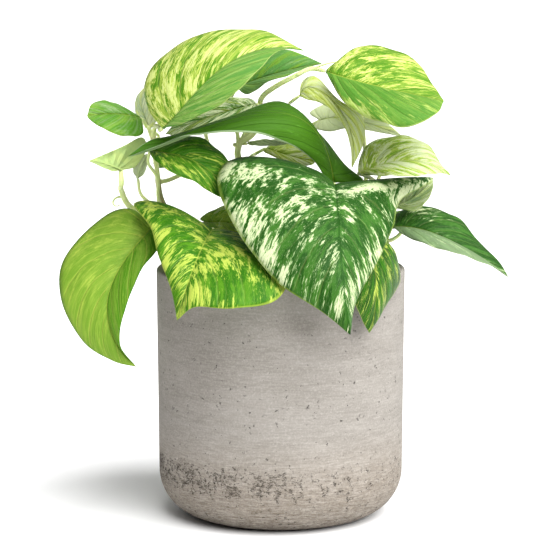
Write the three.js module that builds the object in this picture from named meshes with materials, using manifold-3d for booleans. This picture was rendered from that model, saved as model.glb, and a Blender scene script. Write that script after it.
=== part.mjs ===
// Marble queen pothos growing in a round pot of pale concrete.
// Millimetres, +Z up. The pot stands on z = 0, centred on the Z axis, and the plant's front faces -Y.
import * as THREE from 'three';
import { mergeVertices } from 'three/addons/utils/BufferGeometryUtils.js';
import Module from 'manifold-3d';

const wasm = await Module();
wasm.setup();

// Driving sizes of the pot and its filling
const POT_HEIGHT = 151;
const POT_TOP_RADIUS = 75;
const POT_BASE_RADIUS = 74;
const POT_FILLET = 28;
const POT_WALL = 8;
const POT_FLOOR = 9;
const POT_INNER_FILLET = 20;
const RIM_EASE = 1.6;
const POT_SEGMENTS = 48;
const OUTER_FILLET_STEPS = 7;
const INNER_FILLET_STEPS = 5;
const RIM_STEPS = 2;
const SOIL_RIM_LEVEL = 131;
const SOIL_MIDDLE_LEVEL = 133;
const SOIL_SHOULDER_SHARE = 0.6;
const SOIL_SHOULDER_LEVEL = 132.6;
const SEAT_GAP = 0.3;
const MERGE_DISTANCE = 1e-4;

// Driving sizes of the plant
const BLADE_THICKNESS = 0.8;
const STEM_FOOT_LEVEL = 118;
const HOLE_CLEARANCE = 0.9;
const HOLE_SIDES = 16;
const STEM_SIDES = 8;
const PETIOLE_SIDES = 6;
const STEM_STEP = 9;
const STEM_TAPER = 0.25;
const PETIOLE_STEP = 8;
const PETIOLE_END_SHRINK = 0.35;
const PETIOLE_STOP = 0.9;
const PETIOLE_APPROACH = 9;
const PETIOLE_FEWEST_STEPS = 6;
const LEAF_LEAN_SHARE = 0.1;
const BLADE_BULGE = 0.08;
const ROW_CROWDING = 1.7;

// Grid of a blade by the length of its midrib: rows from end to end, columns on each half
const BLADE_GRIDS = [
  { fromLength: 98, rowCount: 13, halfColumns: 4 },
  { fromLength: 55, rowCount: 11, halfColumns: 3 },
  { fromLength: 0, rowCount: 9, halfColumns: 2 },
];

// Colours
const CONCRETE = 0xbeb9b4;
const SOIL = 0x3a2a1f;
const STEM_GREEN = 0x8a9a4a;
const DEEP = 0x2f6b38;
const FRESH = 0x55962f;
const LIME = 0x9dc23c;
const PALE = 0xc6d29a;

// Roughness of the surfaces
const MATT = 0.92;
const SATIN = 0.5;
const WAXY = 0.35;

// Leaves that face the viewer. Each has its midrib from junction to tip, and its two margins
// between the same ends, seen from above the upper face with the tip ahead.
const SHOWN_LEAVES = [
  {
    name: 'leaf_front', colour: DEEP,
    rib: [[32, -18, 203.5], [33, -56, 195.5], [34.5, -92, 168], [39.5, -106, 128]],
    left: [
      [57, 8, 202], [92.5, 10, 203.5], [72, -14, 194], [66, -42, 180.5], [55, -74, 163.5],
      [43, -94, 145],
    ],
    right: [
      [11.5, -6, 213.5], [-21.5, -10, 219.5], [-37.5, -30, 208.5], [-23.5, -68, 179.5],
      [-0.5, -92, 155.5], [25, -102, 139.5],
    ],
    bulge: [0.03, 0.08],
  },
  {
    name: 'leaf_left_front', colour: LIME,
    rib: [[-40.5, -20, 177], [-47, -54, 168], [-53.5, -78, 152.5], [-59.5, -86, 133]],
    left: [
      [-27, -18, 174], [-7.5, -44, 170], [5, -78, 160.5], [-2.5, -95, 146.5], [-25.5, -100, 142],
      [-48, -95, 142.5],
    ],
    right: [
      [-54.5, -6, 181], [-72.5, -4, 190.5], [-88, -8, 190.5], [-77.5, -34, 181], [-71, -58, 166],
      [-63, -76, 148.5],
    ],
  },
  {
    name: 'leaf_left_low', colour: FRESH,
    rib: [[-77, -8, 177], [-93.5, -22, 157.5], [-103, -34, 130.5], [-85.5, -42, 97.5]],
    left: [
      [-70, -4, 176.5], [-72, -18, 166.5], [-81.5, -34, 155.5], [-90.5, -42, 136], [-95, -44, 112],
    ],
    right: [
      [-90.5, 6, 185.5], [-108.5, 2, 180.5], [-129, -8, 159], [-132, -20, 136.5], [-118, -32, 111.5],
      [-100, -38, 100.5],
    ],
  },
  {
    name: 'leaf_top_left', colour: LIME,
    rib: [[-69.5, -34, 238.5], [-51, -44, 259], [-25, -38, 280], [14, -20, 283]],
    left: [[-78, -20, 248], [-81, -10, 261.5], [-70, -4, 279.5], [-42.5, -4, 293], [-11, -8, 294]],
    right: [[-54.5, -46, 243.5], [-29.5, -50, 257.5], [-12.5, -44, 274], [0, -30, 284]],
  },
  {
    name: 'leaf_top_mid', colour: FRESH,
    rib: [[-27, 24, 257.5], [-11.5, 18, 264], [7, 13, 269.5], [25, 12, 273]],
    left: [[-24.5, 30, 265.5], [-12.5, 28, 276.5], [2, 23, 281], [15.5, 18, 277]],
    right: [[-19.5, 18, 254], [-7.5, 11, 262], [4, 8, 266], [17, 10, 271]],
  },
  {
    name: 'leaf_top_right', colour: LIME,
    rib: [[27, 0, 269.5], [45.5, -12, 264.5], [70.5, -20, 259], [96.5, -22, 253.5]],
    left: [[34, 10, 274.5], [46.5, 18, 282.5], [66, 20, 282], [82.5, 12, 273.5], [92, -6, 260]],
    right: [[30.5, -8, 263], [39, -22, 251], [57, -34, 242.5], [74.5, -40, 240], [91, -34, 246.5]],
  },
  {
    name: 'leaf_twisted', colour: PALE,
    rib: [[11.5, 8, 254], [22.5, 4, 258], [38.5, -6, 241.5], [42.5, -8, 211.5]],
    left: [[13.5, 14, 262.5], [21.5, 14, 265], [33.5, 6, 253], [49, 0, 241.5], [49.5, -6, 227]],
    right: [[16, 4, 252], [25, -2, 250], [36, -8, 240.5], [41.5, -10, 226]],
  },
  {
    name: 'leaf_pale_back', colour: PALE,
    rib: [[24, 36, 236.5], [41.5, 36, 237.5], [58.5, 34, 233], [75, 30, 227]],
    left: [[18, 40, 241], [30.5, 42, 246.5], [49, 42, 242.5], [64, 36, 235.5]],
    right: [[20, 30, 232.5], [30, 28, 230.5], [43.5, 30, 232.5], [59.5, 32, 229.5]],
  },
  {
    name: 'leaf_right_mid', colour: LIME,
    rib: [[46.5, -4, 208.5], [64, -14, 216], [83, -18, 217.5], [101.5, -16, 208.5]],
    left: [[48, 4, 217.5], [55.5, 12, 226], [72.5, 16, 229], [88.5, 8, 225], [95.5, -6, 215]],
    right: [[52.5, -10, 208], [66, -28, 209.5], [82.5, -30, 210], [94.5, -22, 210.5]],
  },
  {
    name: 'leaf_arch', colour: FRESH,
    rib: [[32, 4, 202], [4, -8, 244.5], [-45, -18, 236.5], [-90.5, -28, 221]],
    left: [
      [28.5, 0, 202.5], [18, -9, 218], [-3.5, -22, 231.5], [-28.5, -28, 235.5], [-53.5, -28, 233.5],
      [-74, -29, 227],
    ],
    right: [
      [51, 10, 201.5], [39, 14, 212], [22.5, 14, 231.5], [0, 10, 250.5], [-30.5, 2, 241.5],
      [-60, -10, 232.5], [-77.5, -21, 230],
    ],
  },
  {
    name: 'leaf_left_mid', colour: DEEP,
    rib: [[-78, -14, 223.5], [-61, -20, 221], [-44, -22, 213.5], [-26.5, -16, 194]],
    left: [[-72.5, -2, 226.5], [-54, -6, 231], [-41, -4, 226], [-30.5, -8, 214]],
    right: [[-76, -22, 220], [-66.5, -32, 213.5], [-50.5, -34, 206.5], [-36.5, -26, 197]],
  },
  {
    name: 'leaf_pale_left', colour: PALE,
    rib: [[-14.5, 15, 248.5], [-33, 14, 244], [-51, 12, 238], [-69.5, 8, 231]],
    left: [[-18.5, 8, 244], [-35.5, 6, 237], [-51.5, 6, 232.5], [-62, 6, 230]],
    right: [[-19, 19, 251.5], [-33.5, 20, 251.5], [-52, 19, 245.5], [-64, 14, 236.5]],
  },
  {
    name: 'leaf_far_left', colour: FRESH,
    rib: [[-84, 4, 241], [-95, 0, 243.5], [-105.5, -4, 244], [-115.5, -8, 243.5]],
    left: [[-82.5, -6, 232.5], [-92.5, -12, 231.5], [-104, -14, 235.5], [-113.5, -10, 241]],
    right: [[-90, 10, 244], [-98, 8, 249], [-106, 4, 251.5], [-113, -3, 250]],
  },
  {
    name: 'leaf_behind_left', colour: FRESH,
    rib: [[-79.5, 18, 232.5], [-82, 18, 239.5], [-84.5, 20, 248], [-81.5, 22, 258.5]],
    left: [[-85, 20, 237], [-88.5, 22, 244], [-87.5, 24, 252], [-84, 24, 256.5]],
    right: [[-75.5, 14, 237.5], [-75.5, 14, 246], [-78, 18, 253.5]],
  },
  {
    name: 'leaf_yellow_left', colour: PALE,
    rib: [[-95, -18, 212], [-100.5, -24, 215], [-106.5, -28, 217.5], [-113, -32, 219]],
    left: [[-86, -8, 213.5], [-80.5, 2, 224.5], [-83.5, -2, 230], [-93, -11, 226], [-103, -23, 222.5]],
    right: [[-98.5, -28, 212.5], [-103, -33, 214.5], [-108, -34, 217]],
  },
  {
    name: 'leaf_yellow_low', colour: PALE,
    rib: [[-86, 4, 204.5], [-85.5, 3, 209], [-83.5, 2, 214], [-80.5, 3, 219.5]],
    left: [[-82.5, 3, 207], [-80.5, 2, 212], [-79, 3, 217]],
    right: [[-89, 5, 208], [-88, 4, 214], [-83.5, 3, 218]],
  },
  {
    name: 'leaf_shade_left', colour: DEEP,
    rib: [[-45, 14, 176], [-35.5, 9, 177], [-26, 4, 176.5], [-16, 0, 174]],
    left: [[-49, 20, 178], [-38.5, 24, 184], [-26, 18, 186], [-17.5, 8, 181]],
    right: [[-50.5, 8, 176], [-41, 0, 172.5], [-30.5, -5, 170.5], [-21, -5, 172]],
  },
  {
    name: 'leaf_right_back', colour: LIME,
    rib: [[67.5, 8, 187], [75.5, 10, 188.5], [84.5, 12, 194], [92.5, 16, 202]],
    left: [[72, 4, 186], [82, 4, 185], [89.5, 8, 191.5], [92.5, 12, 198]],
    right: [[70, 16, 192], [77.5, 18, 197], [86, 18, 200.5]],
  },
  {
    name: 'leaf_right_low', colour: DEEP,
    rib: [[68, 8, 174.5], [90.5, 2, 172], [114, -6, 161.5], [137, -12, 146.5]],
    left: [[71, 22, 181], [86.5, 28, 184.5], [106.5, 20, 179.5], [121, 8, 165], [132, -6, 154.5]],
    right: [[73.5, 0, 171], [84.5, -10, 167], [101, -18, 163], [118, -18, 157.5], [130.5, -15, 151.5]],
  },
  {
    name: 'leaf_rim_right', colour: LIME,
    rib: [[47, -30, 182.5], [53, -60, 169], [55.5, -68, 148], [51.5, -68, 122.5]],
    left: [[58.5, -14, 176.5], [68.5, -30, 162], [71, -36, 149], [64, -52, 139.5], [57, -62, 129.5]],
    right: [[37.5, -50, 179], [37, -72, 165], [43, -76, 141.5], [47, -73, 131]],
  },
  {
    name: 'leaf_pale_centre', colour: PALE,
    rib: [[-9, 34, 219.5], [-0.5, 31, 217], [10.5, 28, 214], [21.5, 24, 212.5]],
    left: [[-3, 42, 223], [6, 42, 223], [15.5, 36, 220]],
    right: [[-10, 27, 218], [-0.5, 22, 214], [10.5, 20, 210.5], [18.5, 21, 210.5]],
  },
  {
    name: 'leaf_silver', colour: PALE,
    rib: [[-20, 22, 223.5], [-12.5, 20, 225], [-5, 18, 225.5], [4, 16, 224]],
    left: [[-17.5, 15, 223.5], [-10, 11, 223.5], [-1.5, 13, 223.5]],
    right: [[-17.5, 28, 224.5], [-10, 30, 225.5], [-1.5, 26, 225.5]],
  },
];

// Leaves at the back and the sides. Each has the foot of its midrib, the compass heading and the
// length of that midrib, its slope at the foot and how far it droops, in degrees, the side that
// its upper face turns to, its half width, and how far its margins hang, in degrees.
const BACK_LEAVES = [
  {
    name: 'leaf_back_top', foot: [-45, 30, 245], heading: 115, length: 60, climb: 30, droop: 60,
    face: [0, -0.2, 1], half: 22, hang: 12,
  },
  {
    name: 'leaf_back_high_right', foot: [50, 25, 260], heading: 55, length: 70, climb: 20, droop: 50,
    face: [0.1, 0.3, 1], half: 24, hang: 14,
  },
  {
    name: 'leaf_back_left_up', foot: [-60, 20, 215], heading: 100, length: 65, climb: 12, droop: 40,
    face: [-0.2, 0.2, 1], half: 17, hang: 16,
  },
  {
    name: 'leaf_back_left_low', foot: [-95, 35, 175], heading: 120, length: 85, climb: -30, droop: 55,
    face: [-0.6, 0.7, 0.7], half: 26, hang: 12,
  },
  {
    name: 'leaf_back_hang_left', foot: [-30, 45, 170], heading: 105, length: 105, climb: -5,
    droop: 90, face: [-0.2, 0.7, 0.8], half: 34, hang: 12,
  },
  {
    name: 'leaf_back_hang_right', foot: [30, 48, 175], heading: 75, length: 110, climb: 0,
    droop: 100, face: [0.2, 0.7, 0.8], half: 30, hang: 10,
  },
  {
    name: 'leaf_back_mid', foot: [5, 45, 200], heading: 90, length: 90, climb: 10, droop: 90,
    face: [0, 0.5, 1], half: 32, hang: 12,
  },
  {
    name: 'leaf_back_right', foot: [76, 30, 175], heading: 65, length: 75, climb: 15, droop: 50,
    face: [0.2, 0.2, 1], half: 24, hang: 14,
  },
  {
    name: 'leaf_back_up_right', foot: [65, 30, 212], heading: 60, length: 70, climb: 8, droop: 36,
    face: [0.3, 0.2, 1], half: 22, hang: 12,
  },
];

// Heart outline of those leaves: places along the midrib as shares of its length, negative behind
// the junction, and distances from the midrib as shares of the half width.
const HEART_OUTLINE = [[-0.1, 0.3], [0.0, 0.84], [0.27, 1], [0.6, 0.66], [0.87, 0.17]];

// Vines rooted in the soil. Each petiole leaves its stem at a share of the stem's length, passes
// its way points and meets its leaf along the direction "arrive", or along the leaf's own lean.
const VINES = [
  {
    name: 'vine_left', radius: 1.9,
    path: [
      [-34, 2, 118], [-34, 2, 136], [-40, 4, 148], [-58, 9, 170], [-71.5, 7, 190], [-75, 7, 212],
      [-77, 8, 229],
    ],
    petioles: [
      { leaf: 'leaf_left_front', at: 0.32, radius: 1.6, via: [[-44, -4, 166]] },
      { leaf: 'leaf_left_low', at: 0.46, radius: 1.6, stop: 1.5, arrive: [-0.16, -0.97, 0.16],
        via: [[-72, 10, 176]] },
      { leaf: 'leaf_left_mid', at: 0.56, radius: 1.1, arrive: [0.1, -0.4, 0.9],
        via: [[-73, 2, 189], [-74, -4, 205.5]] },
      { leaf: 'leaf_yellow_left', at: 0.42, radius: 1.9, stop: 1.2, arrive: [0, -0.35, 0.95],
        via: [[-72, 15, 175], [-91, 14, 185.5], [-96, 0, 198]] },
      { leaf: 'leaf_yellow_low', at: 0.52, radius: 1.1, arrive: [-0.15, 0, 1],
        via: [[-68, 5, 180], [-78, 6, 191], [-82.5, 6, 197.5]] },
      { leaf: 'leaf_far_left', at: 0.96, radius: 1.2, via: [[-80, 8, 235]] },
      { leaf: 'leaf_behind_left', at: 0.9, radius: 1.1, via: [[-79, 14, 224]] },
      { leaf: 'leaf_top_left', at: 1.0, radius: 1.5, stop: 1.3, arrive: [0.2, -0.95, 0.2],
        via: [[-75.5, 2, 236], [-72, -14, 237]] },
      { leaf: 'leaf_back_left_up', at: 0.78, radius: 1.3, stop: 1.6, via: [[-67, 10, 203]] },
      { leaf: 'leaf_back_left_low', at: 0.45, radius: 1.4, stop: 1.4, via: [[-70, 22, 172]] },
    ],
  },
  {
    name: 'vine_centre', radius: 2.2,
    path: [[4, 2, 118], [4, 2, 136], [4, 5, 158], [-9, 10, 190], [-25, 14, 214], [-25, 14, 226]],
    petioles: [
      { leaf: 'leaf_silver', at: 0.97, radius: 1.0, arrive: [1, 0.5, 0], via: [] },
      { leaf: 'leaf_top_mid', at: 0.9, radius: 1.3, arrive: [0.3, -0.6, 0.7],
        via: [[-26, 24, 227], [-27.5, 34, 237], [-25, 34, 248]] },
      { leaf: 'leaf_back_top', at: 0.8, radius: 1.3, stop: 1.8, arrive: [0.1, 0.2, 0.95],
        via: [[-33, 18, 213], [-44, 25, 223]] },
      { leaf: 'leaf_pale_left', at: 1.0, radius: 1.2, arrive: [-0.4, -0.7, 0.6],
        via: [[-18.5, 20, 231], [-13, 26, 239]] },
      { leaf: 'leaf_pale_centre', at: 0.85, radius: 1.2, via: [[-18.5, 26, 214.5]] },
      { leaf: 'leaf_shade_left', at: 0.5, radius: 1.4, stop: 1.1, via: [[-24, 16, 170]] },
      { leaf: 'leaf_front', at: 0.45, radius: 1.8, stop: 1.3, via: [[20, 6, 186]] },
      { leaf: 'leaf_arch', at: 0.5, radius: 1.6, via: [[20, 14, 184]] },
      { leaf: 'leaf_top_right', at: 0.99, radius: 1.7, arrive: [0.95, -0.2, -0.12],
        via: [[-16, 17, 231], [-13, 25, 242], [-11.5, 20, 251.5], [-3.5, 10, 259], [9, 1, 266.5]] },
      { leaf: 'leaf_twisted', at: 0.93, radius: 1.2, arrive: [0.6, -0.6, 0.5],
        via: [[-21, 28, 230.5], [-9, 32, 236.5], [2.5, 30, 244]] },
    ],
  },
  {
    name: 'vine_right', radius: 2.4,
    path: [[34, 0, 118], [34, 0, 136], [38, 2, 146], [46, 4, 160], [50, 10, 172]],
    petioles: [
      { leaf: 'leaf_right_mid', at: 0.95, radius: 1.4, stop: 1.2, arrive: [-0.5, -0.8, 0.25],
        via: [[58.5, 22, 194], [57, 18, 201]] },
      { leaf: 'leaf_right_back', at: 0.9, radius: 1.2, via: [[58, 12, 178]] },
      { leaf: 'leaf_right_low', at: 0.6, radius: 1.4, via: [[58, 8, 166]] },
      { leaf: 'leaf_rim_right', at: 0.4, radius: 1.4, via: [[44, -14, 166]] },
      { leaf: 'leaf_pale_back', at: 1.0, radius: 1.3, via: [[40, 30, 204], [24, 38, 226]] },
      { leaf: 'leaf_back_high_right', at: 0.98, radius: 1.4, stop: 1.3, via: [[52, 24, 210]] },
      { leaf: 'leaf_back_up_right', at: 0.95, radius: 1.3, stop: 1.3, via: [[56, 18, 190]] },
      { leaf: 'leaf_back_right', at: 0.9, radius: 1.3, stop: 1.4, via: [[64, 18, 164]] },
    ],
  },
  {
    name: 'vine_back', radius: 2.4,
    path: [[6, 40, 118], [6, 40, 136], [8, 44, 150], [6, 46, 166], [2, 48, 180]],
    petioles: [
      { leaf: 'leaf_back_hang_right', at: 0.5, radius: 1.5, stop: 2, via: [[18, 41, 164]] },
      { leaf: 'leaf_back_hang_left', at: 0.4, radius: 1.5, stop: 1.8, via: [[-12, 38, 158]] },
      { leaf: 'leaf_back_mid', at: 0.95, radius: 1.4, stop: 1.4, via: [[2, 42, 189]] },
    ],
  },
];

const QUARTER = Math.PI / 2;
const UP = new THREE.Vector3(0, 0, 1);
const RIB_CHORDS = 3;
const vector = (p) => new THREE.Vector3(...p);

/** Smooth curve through a list of points. */
function curveThrough(points) {
  return new THREE.CatmullRomCurve3(points, false, 'catmullrom', 0.5);
}

/** Midrib: the cubic that passes its four points at thirds of its parameter. */
function ribCurve(rib) {
  const [a, b, c, d] = rib.map(vector);
  const blend = (weights) => [a, b, c, d].reduce(
    (sum, point, i) => sum.addScaledVector(point, weights[i]),
    new THREE.Vector3(),
  );
  const first = blend([-5 / 6, 3, -3 / 2, 1 / 3]);
  const second = blend([1 / 3, -3 / 2, 3, -5 / 6]);
  return new THREE.CubicBezierCurve3(a, first, second, d);
}

/**
 * The four points of a drooping midrib: three equal chords from its foot, all on one heading. The
 * slope of the middle of each chord is climb - droop * its share of the way.
 */
function droopingRib({ foot, heading, length, climb, droop }) {
  const turn = THREE.MathUtils.degToRad(heading);
  const ahead = new THREE.Vector3(Math.cos(turn), Math.sin(turn), 0);
  const points = [vector(foot)];
  for (let i = 0; i < RIB_CHORDS; i += 1) {
    const slope = THREE.MathUtils.degToRad(climb - (droop * (i + 0.5)) / RIB_CHORDS);
    points.push(points[i].clone()
      .addScaledVector(ahead, (Math.cos(slope) * length) / RIB_CHORDS)
      .addScaledVector(UP, (Math.sin(slope) * length) / RIB_CHORDS));
  }
  return points.map((point) => point.toArray());
}

/** Margins of a leaf that is given by its midrib and the heart outline. */
function heartMargins(leaf) {
  const rib = ribCurve(leaf.rib);
  const length = rib.getLength();
  const hang = THREE.MathUtils.degToRad(leaf.hang);
  const margin = (side) => HEART_OUTLINE.map(([along, out]) => {
    const t = Math.max(along, 0);
    const tangent = rib.getTangentAt(t);
    const up = vector(leaf.face).projectOnPlane(tangent).normalize();
    const across = new THREE.Vector3().crossVectors(up, tangent).multiplyScalar(side);
    return rib.getPointAt(t)
      .addScaledVector(tangent, Math.min(along, 0) * length)
      .addScaledVector(across, leaf.half * out * Math.cos(hang))
      .addScaledVector(up, -leaf.half * out * Math.sin(hang))
      .toArray();
  });
  return { left: margin(1), right: margin(-1) };
}

/**
 * Middle surface of a blade. Row u joins the midrib at u^crowding to both margins at u, all by
 * arc length, and each half row is lifted by 4 * bulge * width * w * (1 - w), w from rib to margin.
 */
function bladeSurface(leaf) {
  const rib = ribCurve(leaf.rib);
  const ends = [vector(leaf.rib[0]), vector(leaf.rib[3])];
  const length = rib.getLength();
  const { rowCount, halfColumns } = BLADE_GRIDS.find((grid) => length >= grid.fromLength);
  const edge = (points) => curveThrough([ends[0], ...points.map(vector), ends[1]]);
  const left = edge(leaf.left);
  const right = edge(leaf.right);
  const bulge = leaf.bulge ?? [BLADE_BULGE, BLADE_BULGE];
  const shares = Array.from({ length: rowCount - 2 }, (_, i) => (i + 1) / (rowCount - 1));
  const ups = shares.map((u) => right.getPointAt(u)
    .sub(left.getPointAt(u))
    .cross(rib.getTangentAt(u ** ROW_CROWDING))
    .normalize());
  const meanUp = ups.reduce((sum, up) => sum.add(up), new THREE.Vector3()).normalize();
  const rows = shares.map((u, i) => {
    const middle = rib.getPointAt(u ** ROW_CROWDING);
    const up = ups[i].clone().add(meanUp).normalize();
    const row = [];
    for (let k = -halfColumns; k <= halfColumns; k += 1) {
      const w = Math.abs(k) / halfColumns;
      const margin = (k < 0 ? left : right).getPointAt(u);
      const lift = 4 * bulge[k < 0 ? 0 : 1] * margin.distanceTo(middle) * w * (1 - w);
      row.push(middle.clone().lerp(margin, w).addScaledVector(up, lift));
    }
    return row;
  });
  return { rows, ends, rib, meanUp };
}

/** Triangles of a blade's middle surface, wound so that they face up, with its edge loop. */
function sheetTriangles(rowCount, columnCount) {
  const start = 0;
  const tip = rowCount * columnCount + 1;
  const at = (row, column) => 1 + row * columnCount + column;
  const faces = [];
  for (let k = 0; k < columnCount - 1; k += 1) {
    faces.push([start, at(0, k + 1), at(0, k)]);
    faces.push([at(rowCount - 1, k), at(rowCount - 1, k + 1), tip]);
  }
  for (let i = 0; i < rowCount - 1; i += 1) {
    for (let k = 0; k < columnCount - 1; k += 1) {
      faces.push([at(i, k), at(i, k + 1), at(i + 1, k)]);
      faces.push([at(i, k + 1), at(i + 1, k + 1), at(i + 1, k)]);
    }
  }
  const rows = Array.from({ length: rowCount }, (_, i) => i);
  const rightEdge = rows.map((i) => at(i, columnCount - 1));
  const leftEdge = rows.map((i) => at(i, 0)).reverse();
  return { faces, loop: [start, ...rightEdge, tip, ...leftEdge] };
}

/** Closed sheet of even thickness around a middle surface. */
function sheetGeometry({ rows, ends }, thickness) {
  const points = [ends[0], ...rows.flat(), ends[1]];
  const { faces, loop } = sheetTriangles(rows.length, rows[0].length);
  const normals = points.map(() => new THREE.Vector3());
  for (const [a, b, c] of faces) {
    const normal = points[b].clone().sub(points[a]).cross(points[c].clone().sub(points[a]));
    [a, b, c].forEach((i) => normals[i].add(normal));
  }
  normals.forEach((normal) => normal.normalize());
  const side = (offset) => points.flatMap((point, i) => point.clone()
    .addScaledVector(normals[i], offset)
    .toArray());
  const count = points.length;
  const index = faces.flatMap(([a, b, c]) => [a, b, c, a + count, c + count, b + count]);
  loop.forEach((p, i) => {
    const q = loop[(i + 1) % loop.length];
    index.push(q, p, p + count, q, p + count, q + count);
  });
  return indexedGeometry([...side(thickness / 2), ...side(-thickness / 2)], index);
}

/** BufferGeometry from a flat list of coordinates and a flat list of corners. */
function indexedGeometry(positions, index) {
  const geometry = new THREE.BufferGeometry();
  geometry.setAttribute('position', new THREE.Float32BufferAttribute(positions, 3));
  geometry.setIndex(index);
  geometry.computeVertexNormals();
  return geometry;
}

const SIDEWAYS = new THREE.Vector3(1, 0.2, 0);

/** Closed round rod along a curve, its radius a function of the share of the way. */
function rodGeometry(curve, radiusAt, steps, sides) {
  const positions = [];
  const index = [];
  let normal = null;
  for (let i = 0; i <= steps; i += 1) {
    const t = i / steps;
    const tangent = curve.getTangentAt(t);
    normal = normal ?? SIDEWAYS.clone().cross(tangent);
    normal.projectOnPlane(tangent).normalize();
    const binormal = tangent.clone().cross(normal);
    const centre = curve.getPointAt(t);
    for (let k = 0; k < sides; k += 1) {
      const angle = (2 * Math.PI * k) / sides;
      positions.push(...centre.clone()
        .addScaledVector(normal, Math.cos(angle) * radiusAt(t))
        .addScaledVector(binormal, Math.sin(angle) * radiusAt(t))
        .toArray());
    }
  }
  for (let i = 0; i < steps; i += 1) {
    for (let k = 0; k < sides; k += 1) {
      const a = i * sides + k;
      const b = i * sides + ((k + 1) % sides);
      index.push(a, b, a + sides, b, b + sides, a + sides);
    }
  }
  for (let k = 1; k < sides - 1; k += 1) {
    const last = steps * sides;
    index.push(0, k + 1, k, last, last + k, last + k + 1);
  }
  return indexedGeometry(positions, index);
}

/** Solid for joining and cutting, from a closed geometry. */
function toSolid(geometry) {
  const bare = geometry.clone();
  bare.deleteAttribute('normal');
  bare.deleteAttribute('uv');
  const merged = mergeVertices(bare, MERGE_DISTANCE);
  return new wasm.Manifold(new wasm.Mesh({
    numProp: 3,
    vertProperties: new Float32Array(merged.attributes.position.array),
    triVerts: new Uint32Array(merged.index.array),
  }));
}

/** Geometry of a joined or cut solid. */
function fromSolid(solid) {
  const mesh = solid.getMesh();
  return indexedGeometry(Array.from(mesh.vertProperties), Array.from(mesh.triVerts));
}

/** Part mesh with its own plain material. */
function part(name, geometry, color, roughness) {
  const material = new THREE.MeshStandardMaterial({ color, roughness, metalness: 0 });
  const mesh = new THREE.Mesh(geometry, material);
  mesh.name = name;
  return mesh;
}

/** Quarter arc from one angle to another, as profile points [radius, height]. */
function arcPoints(centreRadius, centreHeight, radius, fromAngle, toAngle, steps) {
  return Array.from({ length: steps + 1 }, (_, i) => {
    const angle = fromAngle + ((toAngle - fromAngle) * i) / steps;
    return [centreRadius + radius * Math.cos(angle), centreHeight + radius * Math.sin(angle)];
  });
}

/** Solid of revolution about Z from profile points [radius, height] listed from the foot upward. */
function turned(profile, segments) {
  const geometry = new THREE.LatheGeometry(profile.map(([r, z]) => new THREE.Vector2(r, z)), segments);
  geometry.rotateX(Math.PI / 2);
  return geometry;
}

const INNER_TOP_RADIUS = POT_TOP_RADIUS - POT_WALL;
const INNER_BASE_RADIUS = POT_BASE_RADIUS - POT_WALL;

/** Pot: flat foot, large fillet, nearly upright wall and an eased rim around a plain hollow. */
function potGeometry() {
  const profile = [
    [0, 0],
    ...arcPoints(POT_BASE_RADIUS - POT_FILLET, POT_FILLET, POT_FILLET, -QUARTER, 0,
      OUTER_FILLET_STEPS),
    ...arcPoints(POT_TOP_RADIUS - RIM_EASE, POT_HEIGHT - RIM_EASE, RIM_EASE, 0, QUARTER, RIM_STEPS),
    ...arcPoints(INNER_TOP_RADIUS + RIM_EASE, POT_HEIGHT - RIM_EASE, RIM_EASE, QUARTER, 2 * QUARTER,
      RIM_STEPS),
    ...arcPoints(INNER_BASE_RADIUS - POT_INNER_FILLET, POT_FLOOR + POT_INNER_FILLET, POT_INNER_FILLET,
      0, -QUARTER, INNER_FILLET_STEPS),
    [0, POT_FLOOR],
  ];
  return turned(profile, POT_SEGMENTS);
}

/** Soil: fills the pot to just under the rim, with a plain hole for each stem. */
function soilGeometry() {
  const level = SOIL_RIM_LEVEL / POT_HEIGHT;
  const wallRadius = INNER_BASE_RADIUS + (INNER_TOP_RADIUS - INNER_BASE_RADIUS) * level - SEAT_GAP;
  const filletRadius = POT_INNER_FILLET - SEAT_GAP;
  const profile = [
    [0, POT_FLOOR + SEAT_GAP],
    ...arcPoints(INNER_BASE_RADIUS - POT_INNER_FILLET, POT_FLOOR + POT_INNER_FILLET, filletRadius,
      -QUARTER, 0, INNER_FILLET_STEPS),
    [wallRadius, SOIL_RIM_LEVEL],
    [wallRadius * SOIL_SHOULDER_SHARE, SOIL_SHOULDER_LEVEL],
    [0, SOIL_MIDDLE_LEVEL],
  ];
  const body = toSolid(turned(profile, POT_SEGMENTS));
  const bored = VINES.reduce((solid, vine) => {
    const [x, y] = vine.path[0];
    const bottom = STEM_FOOT_LEVEL - SEAT_GAP;
    const height = POT_HEIGHT - bottom;
    const radius = vine.radius + HOLE_CLEARANCE;
    const hole = new THREE.CylinderGeometry(radius, radius, height, HOLE_SIDES);
    hole.rotateX(QUARTER);
    hole.translate(x, y, bottom + height / 2);
    return solid.subtract(toSolid(hole));
  }, body);
  return fromSolid(bored);
}

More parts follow.
